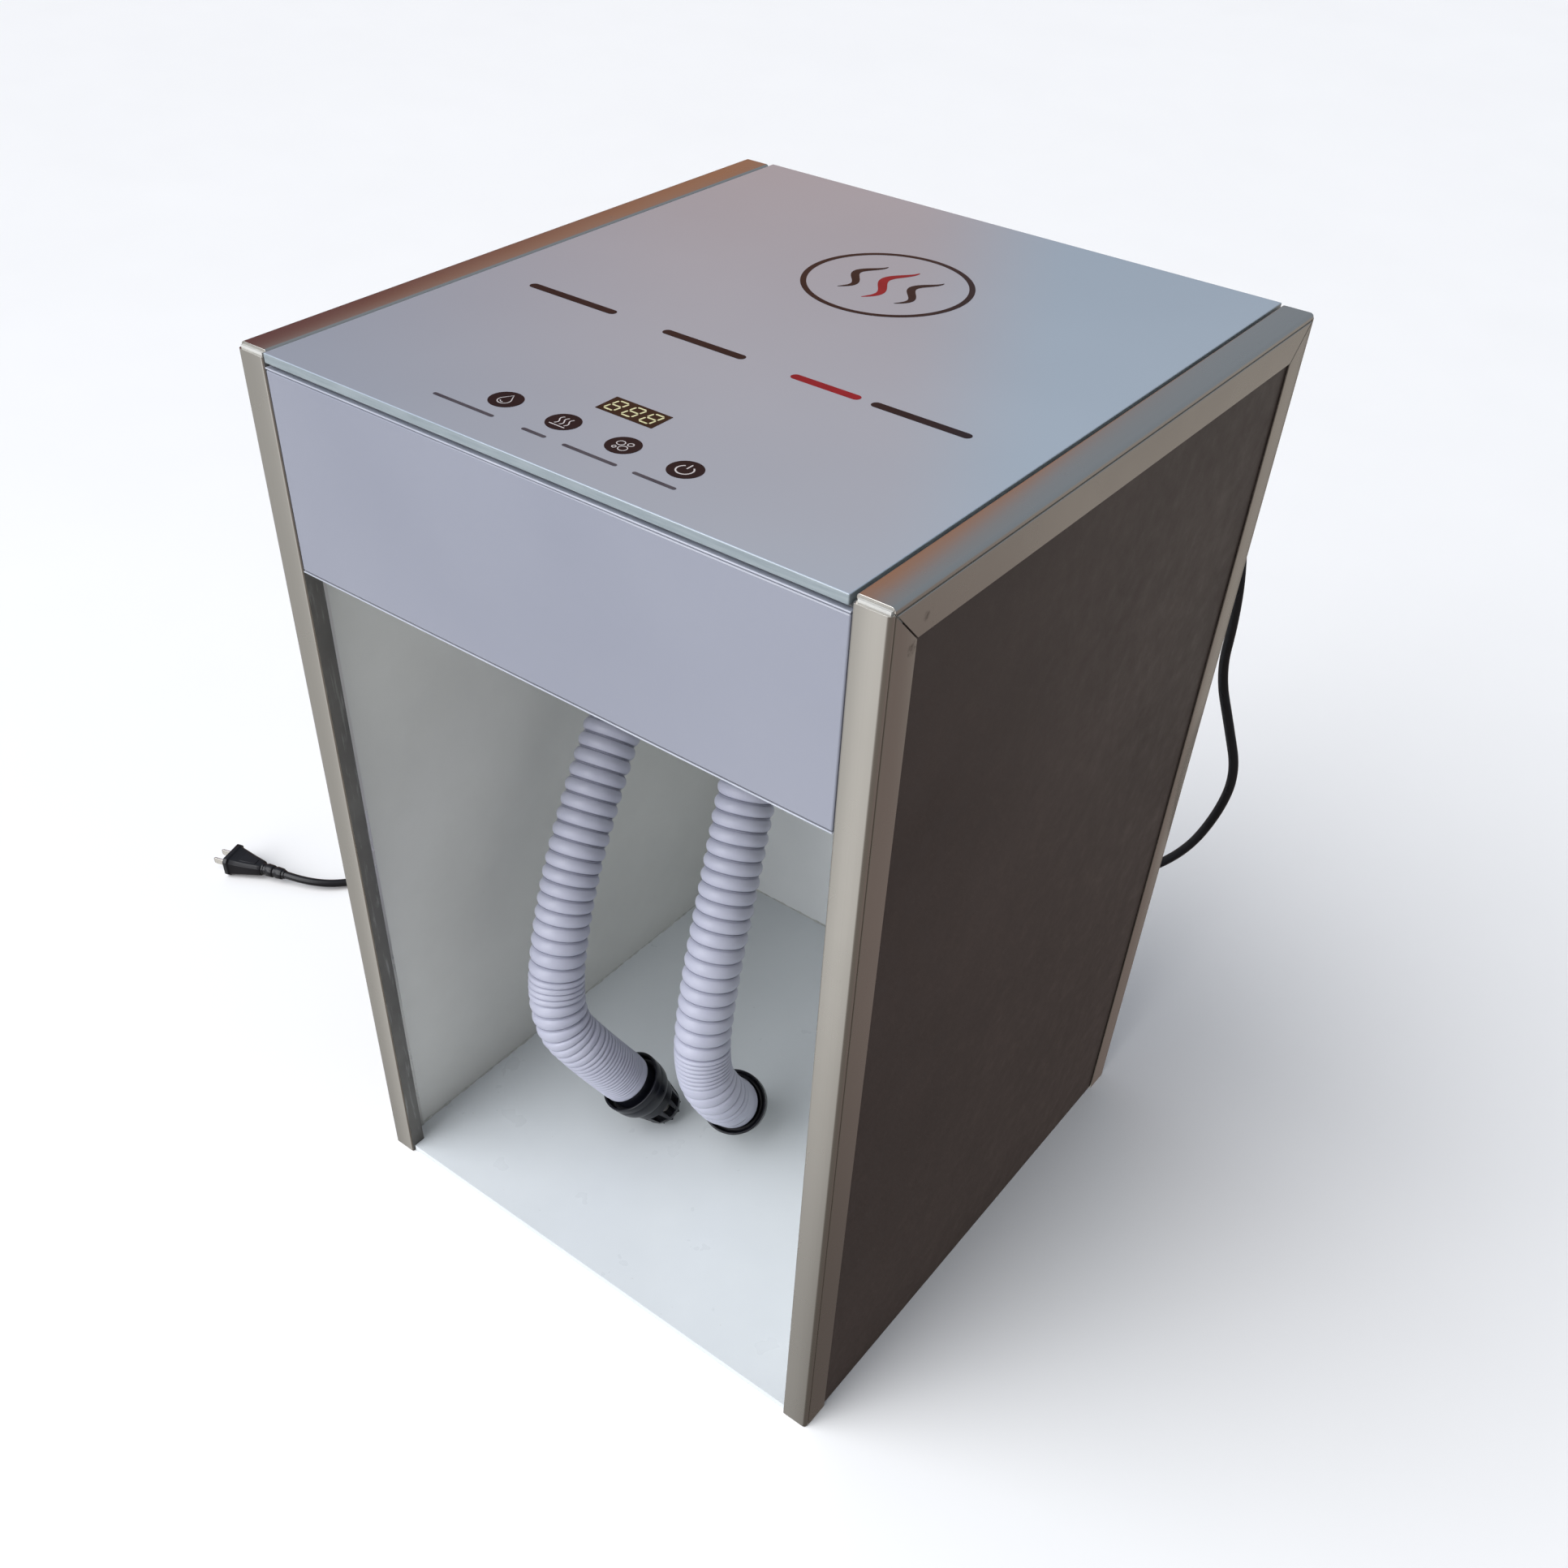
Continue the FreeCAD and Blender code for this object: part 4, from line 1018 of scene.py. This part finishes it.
# warm air
x = ICONS[1]
for dx in (-3.0, 0, 3.0):
    g.stroke([(x + dx + 0.9 * math.sin(k / 16 * 2 * math.pi), IY - 3.2 + 7.6 * k / 16) for k in range(17)], 0.6)
g.stroke([(x - 4.8, IY - 4.7), (x + 4.8, IY - 4.7)], 0.6)
# bubbles
x = ICONS[2]
for dx, dy, r in ((-2.4, 1.2, 2.1), (2.5, 2.4, 1.5), (1.8, -2.6, 2.3), (-2.6, -3.6, 1.0)):
    g.stroke(arc(x + dx, IY + dy, r, 0, 345, 22), 0.5, True)
# power
x = ICONS[3]
g.stroke(arc(x, IY - 0.4, 4.3, 125, 415, 28), 0.75)
g.stroke([(x, IY + 1.0), (x, IY + 5.4)], 0.75)
g.build("touch_glyphs", M["ink_pale"], "white_panel")

bars = Flat()
for x, w in zip((-62.0, -16.0, 18.5, 57.0), (40, 15, 33, 25)):
    bars.bar(x - w / 2, IY - 18.7, x + w / 2, IY - 16.3)
bars.build("touch_captions", M["ink_soft"], "part_dark")

# display window and its three digits
win = Flat()
win.bar(-13.6, -147.9, 21.8, -131.7, 0.5)
win.build("display_window", M["window"], "part_dark")


def digit(fl, cx, cy, w, h_, on, lean=0.14, th=1.45):
    def P(a, b):
        return (cx + a * w / 2 + (b * h_ / 2) * lean, cy + b * h_ / 2)
    t_ = th
    segs = {"a": ((-1, 1), (1, 1)), "b": ((1, 1), (1, 0)), "c": ((1, 0), (1, -1)), "d": ((-1, -1), (1, -1)),
            "e": ((-1, 0), (-1, -1)), "f": ((-1, 1), (-1, 0)), "g": ((-1, 0), (1, 0))}
    for key in on:
        (a0, b0), (a1, b1) = segs[key]
        p0, p1 = Vector(P(a0, b0)), Vector(P(a1, b1))
        d = (p1 - p0).normalized()
        nrm = Vector((-d.y, d.x))
        p0 = p0 + d * 0.45
        p1 = p1 - d * 0.45
        fl.poly([p0, p0 + d * t_ / 2 + nrm * t_ / 2, p1 - d * t_ / 2 + nrm * t_ / 2, p1, p1 - d * t_ / 2 - nrm * t_ / 2, p0 + d * t_ / 2 - nrm * t_ / 2])


dg = Flat(base=TOP + 0.00006)
for cx in (-6.9, 4.1, 15.1):
    digit(dg, cx, -139.8, 6.3, 10.6, "abcdefg", 0.14, 1.05)
dg.build("display_digits", M["digits"], "white_panel")

# three plain bars where a title would be
title = Flat()
for x0, x1 in ((-146, -84), (-50, 4), (83, 140)):
    y0 = -53.2 - 2.4 * (x0 + 146) / 286
    title.bar(x0, y0 - 2.9, x1, y0 + 2.9, 2.9, 8)
title.build("title_bars", M["ink"], "part_dark")
title = Flat()
title.bar(34, -57.6, 76, -51.8, 2.9, 8)
title.build("title_bar_mid", M["ink_red"], "part_dark")

# plain ring with three rising warm-air lines
ring = Flat()
ring.stroke(arc(-0.8, 82.2, 47.5, 0, 357.5, 143), 3.4, True)
ring.build("emblem_ring", M["ink"], "part_dark")
for k_, (dx, mat_, w_) in enumerate(((-19, M["ink"], 4.4), (0, M["ink_red"], 5.0), (19, M["ink"], 4.4))):
    em = Flat()
    reach = 52 if dx == 0 else 44
    pts = [(-0.8 + dx + 4.6 * math.sin(2 * math.pi * k / 60 * 1.25), 82.2 - reach / 2 + reach * k / 60) for k in range(61)]
    em.stroke(pts, lambda q, w=w_: 0.5 + w * math.sin(math.pi * min(max(q, 0.0), 1.0)) ** 0.75)
    em.build("warm_air_line_%d" % (k_ + 1), mat_, "part_dark")

# ================================================================ floor, lights
fl = bpy.data.meshes.new("ground")
fl.from_pydata([(-6, -6, 0), (6, -6, 0), (6, 6, 0), (-6, 6, 0)], [], [(0, 1, 2, 3)])
ground = bpy.data.objects.new("ground", fl)
COL.objects.link(ground)
ground.location = (0, 0, -0.0006)
t = Tree("ground_pale")
t.colour(t.mix(t.remap(t.noise(2, 3), 0.3, 0.7, 0, 1), (0.955, 0.955, 0.95), (0.97, 0.97, 0.965)))
t.rough(t.remap(t.noise(9, 3), 0.3, 0.7, 0.75, 0.85))
fl.materials.append(t.m)
ground.visible_glossy = False

w = bpy.data.worlds.new("studio")
SCN.world = w
w.use_nodes = True
nt = w.node_tree
bg = nt.nodes["Background"]
tc = nt.nodes.new("ShaderNodeTexCoord")
sep = nt.nodes.new("ShaderNodeSeparateXYZ")
nt.links.new(tc.outputs["Generated"], sep.inputs[0])


def wmap(out, a, b, lo, hi):
    n = nt.nodes.new("ShaderNodeMapRange")
    n.interpolation_type = "SMOOTHSTEP"
    for k, v in zip(("From Min", "From Max", "To Min", "To Max"), (a, b, lo, hi)):
        n.inputs[k].default_value = v
    nt.links.new(out, n.inputs["Value"])
    return n.outputs["Result"]


def wmix(fac, a, b):
    n = nt.nodes.new("ShaderNodeMix")
    n.data_type = "RGBA"
    if isinstance(fac, (int, float)):
        n.inputs[0].default_value = fac
    else:
        nt.links.new(fac, n.inputs[0])
    for v, i in ((a, 6), (b, 7)):
        if isinstance(v, tuple):
            n.inputs[i].default_value = (*v, 1)
        else:
            nt.links.new(v, n.inputs[i])
    return n.outputs[2]


def wdot(vec):
    n = nt.nodes.new("ShaderNodeVectorMath")
    n.operation = "DOT_PRODUCT"
    n.inputs[1].default_value = vec
    nt.links.new(tc.outputs["Generated"], n.inputs[0])
    return n.outputs["Value"]


# neutral soft surround above: bright in front and on the left, dim on the right
up = wmix(wmap(sep.outputs["X"], -0.5, 0.9, 0, 1), (0.78, 0.80, 0.86), (0.22, 0.20, 0.19))
up = wmix(wmap(sep.outputs["Y"], -0.6, 0.6, 0, 1), up, (0.27, 0.31, 0.36))
# a warm tone low behind on the left, as from a room with wood
tilt = wdot((1.0, 0.5, 0.0))
low = wmap(sep.outputs["Z"], 0.45, 0.62, 1, 0)
side_ = wmap(tilt, -0.10, 0.02, 1, 0)
both = nt.nodes.new("ShaderNodeMath")
both.operation = "MULTIPLY"
nt.links.new(low, both.inputs[0])
nt.links.new(side_, both.inputs[1])
behind = wmap(sep.outputs["Y"], 0.15, 0.4, 0, 1)
three = nt.nodes.new("ShaderNodeMath")
three.operation = "MULTIPLY"
nt.links.new(both.outputs[0], three.inputs[0])
nt.links.new(behind, three.inputs[1])
glow = wmix(wmap(tilt, -0.55, -0.2, 0, 1), (0.15, 0.05, 0.05), (0.43, 0.20, 0.105))
up = wmix(three.outputs[0], up, glow)
# below the horizon: pale in front, dark brown beside the right wall
down = wmix(wmap(sep.outputs["X"], -0.35, 0.15, 0, 1), (0.80, 0.79, 0.77), (0.20, 0.175, 0.155))
down = wmix(wmap(sep.outputs["X"], -0.42, -0.62, 0, 1), down, (0.46, 0.455, 0.44))
down = wmix(wmap(sep.outputs["Y"], -0.2, 0.5, 0, 1), down, (0.21, 0.17, 0.155))
down = wmix(wmap(sep.outputs["Z"], -0.68, -0.84, 0, 0.6), down, (0.06, 0.055, 0.05))
down = wmix(wmap(sep.outputs["Y"], 0.72, 0.84, 0, 1), down, (0.36, 0.33, 0.30))
sky = wmix(wmap(sep.outputs["Z"], -0.12, 0.02, 0, 1), down, up)
pathn = nt.nodes.new("ShaderNodeLightPath")
sky = wmix(pathn.outputs["Is Camera Ray"], sky, (0.95, 0.95, 0.95))
nt.links.new(sky, bg.inputs["Color"])
bg.inputs["Strength"].default_value = 1.0


def area(name, loc, target, size, power, colour=(1, 1, 1)):
    d = bpy.data.lights.new(name, "AREA")
    d.shape = "RECTANGLE"
    d.size, d.size_y = size
    d.energy = power
    d.color = colour
    o = bpy.data.objects.new(name, d)
    COL.objects.link(o)
    o.location = loc
    o.rotation_euler = (Vector(target) - Vector(loc)).to_track_quat("-Z", "Y").to_euler()
    return o


sd = bpy.data.lights.new("daylight", "SUN")
sd.energy = 2.3
sd.angle = math.radians(55)
sd.color = (0.98, 0.985, 1.0)
so = bpy.data.objects.new("daylight", sd)
COL.objects.link(so)
so.rotation_euler = Vector((0.33, 0.56, -0.76)).to_track_quat("-Z", "Y").to_euler()
area("front", (-0.5, -2.2, 0.7), (0, 0, 0.15), (1.4, 1.0), 17, (0.97, 0.98, 1.0))

SCN.view_settings.view_transform = "Standard"
SCN.view_settings.look = "None"
SCN.view_settings.exposure = 0.0

bpy.context.view_layer.update()
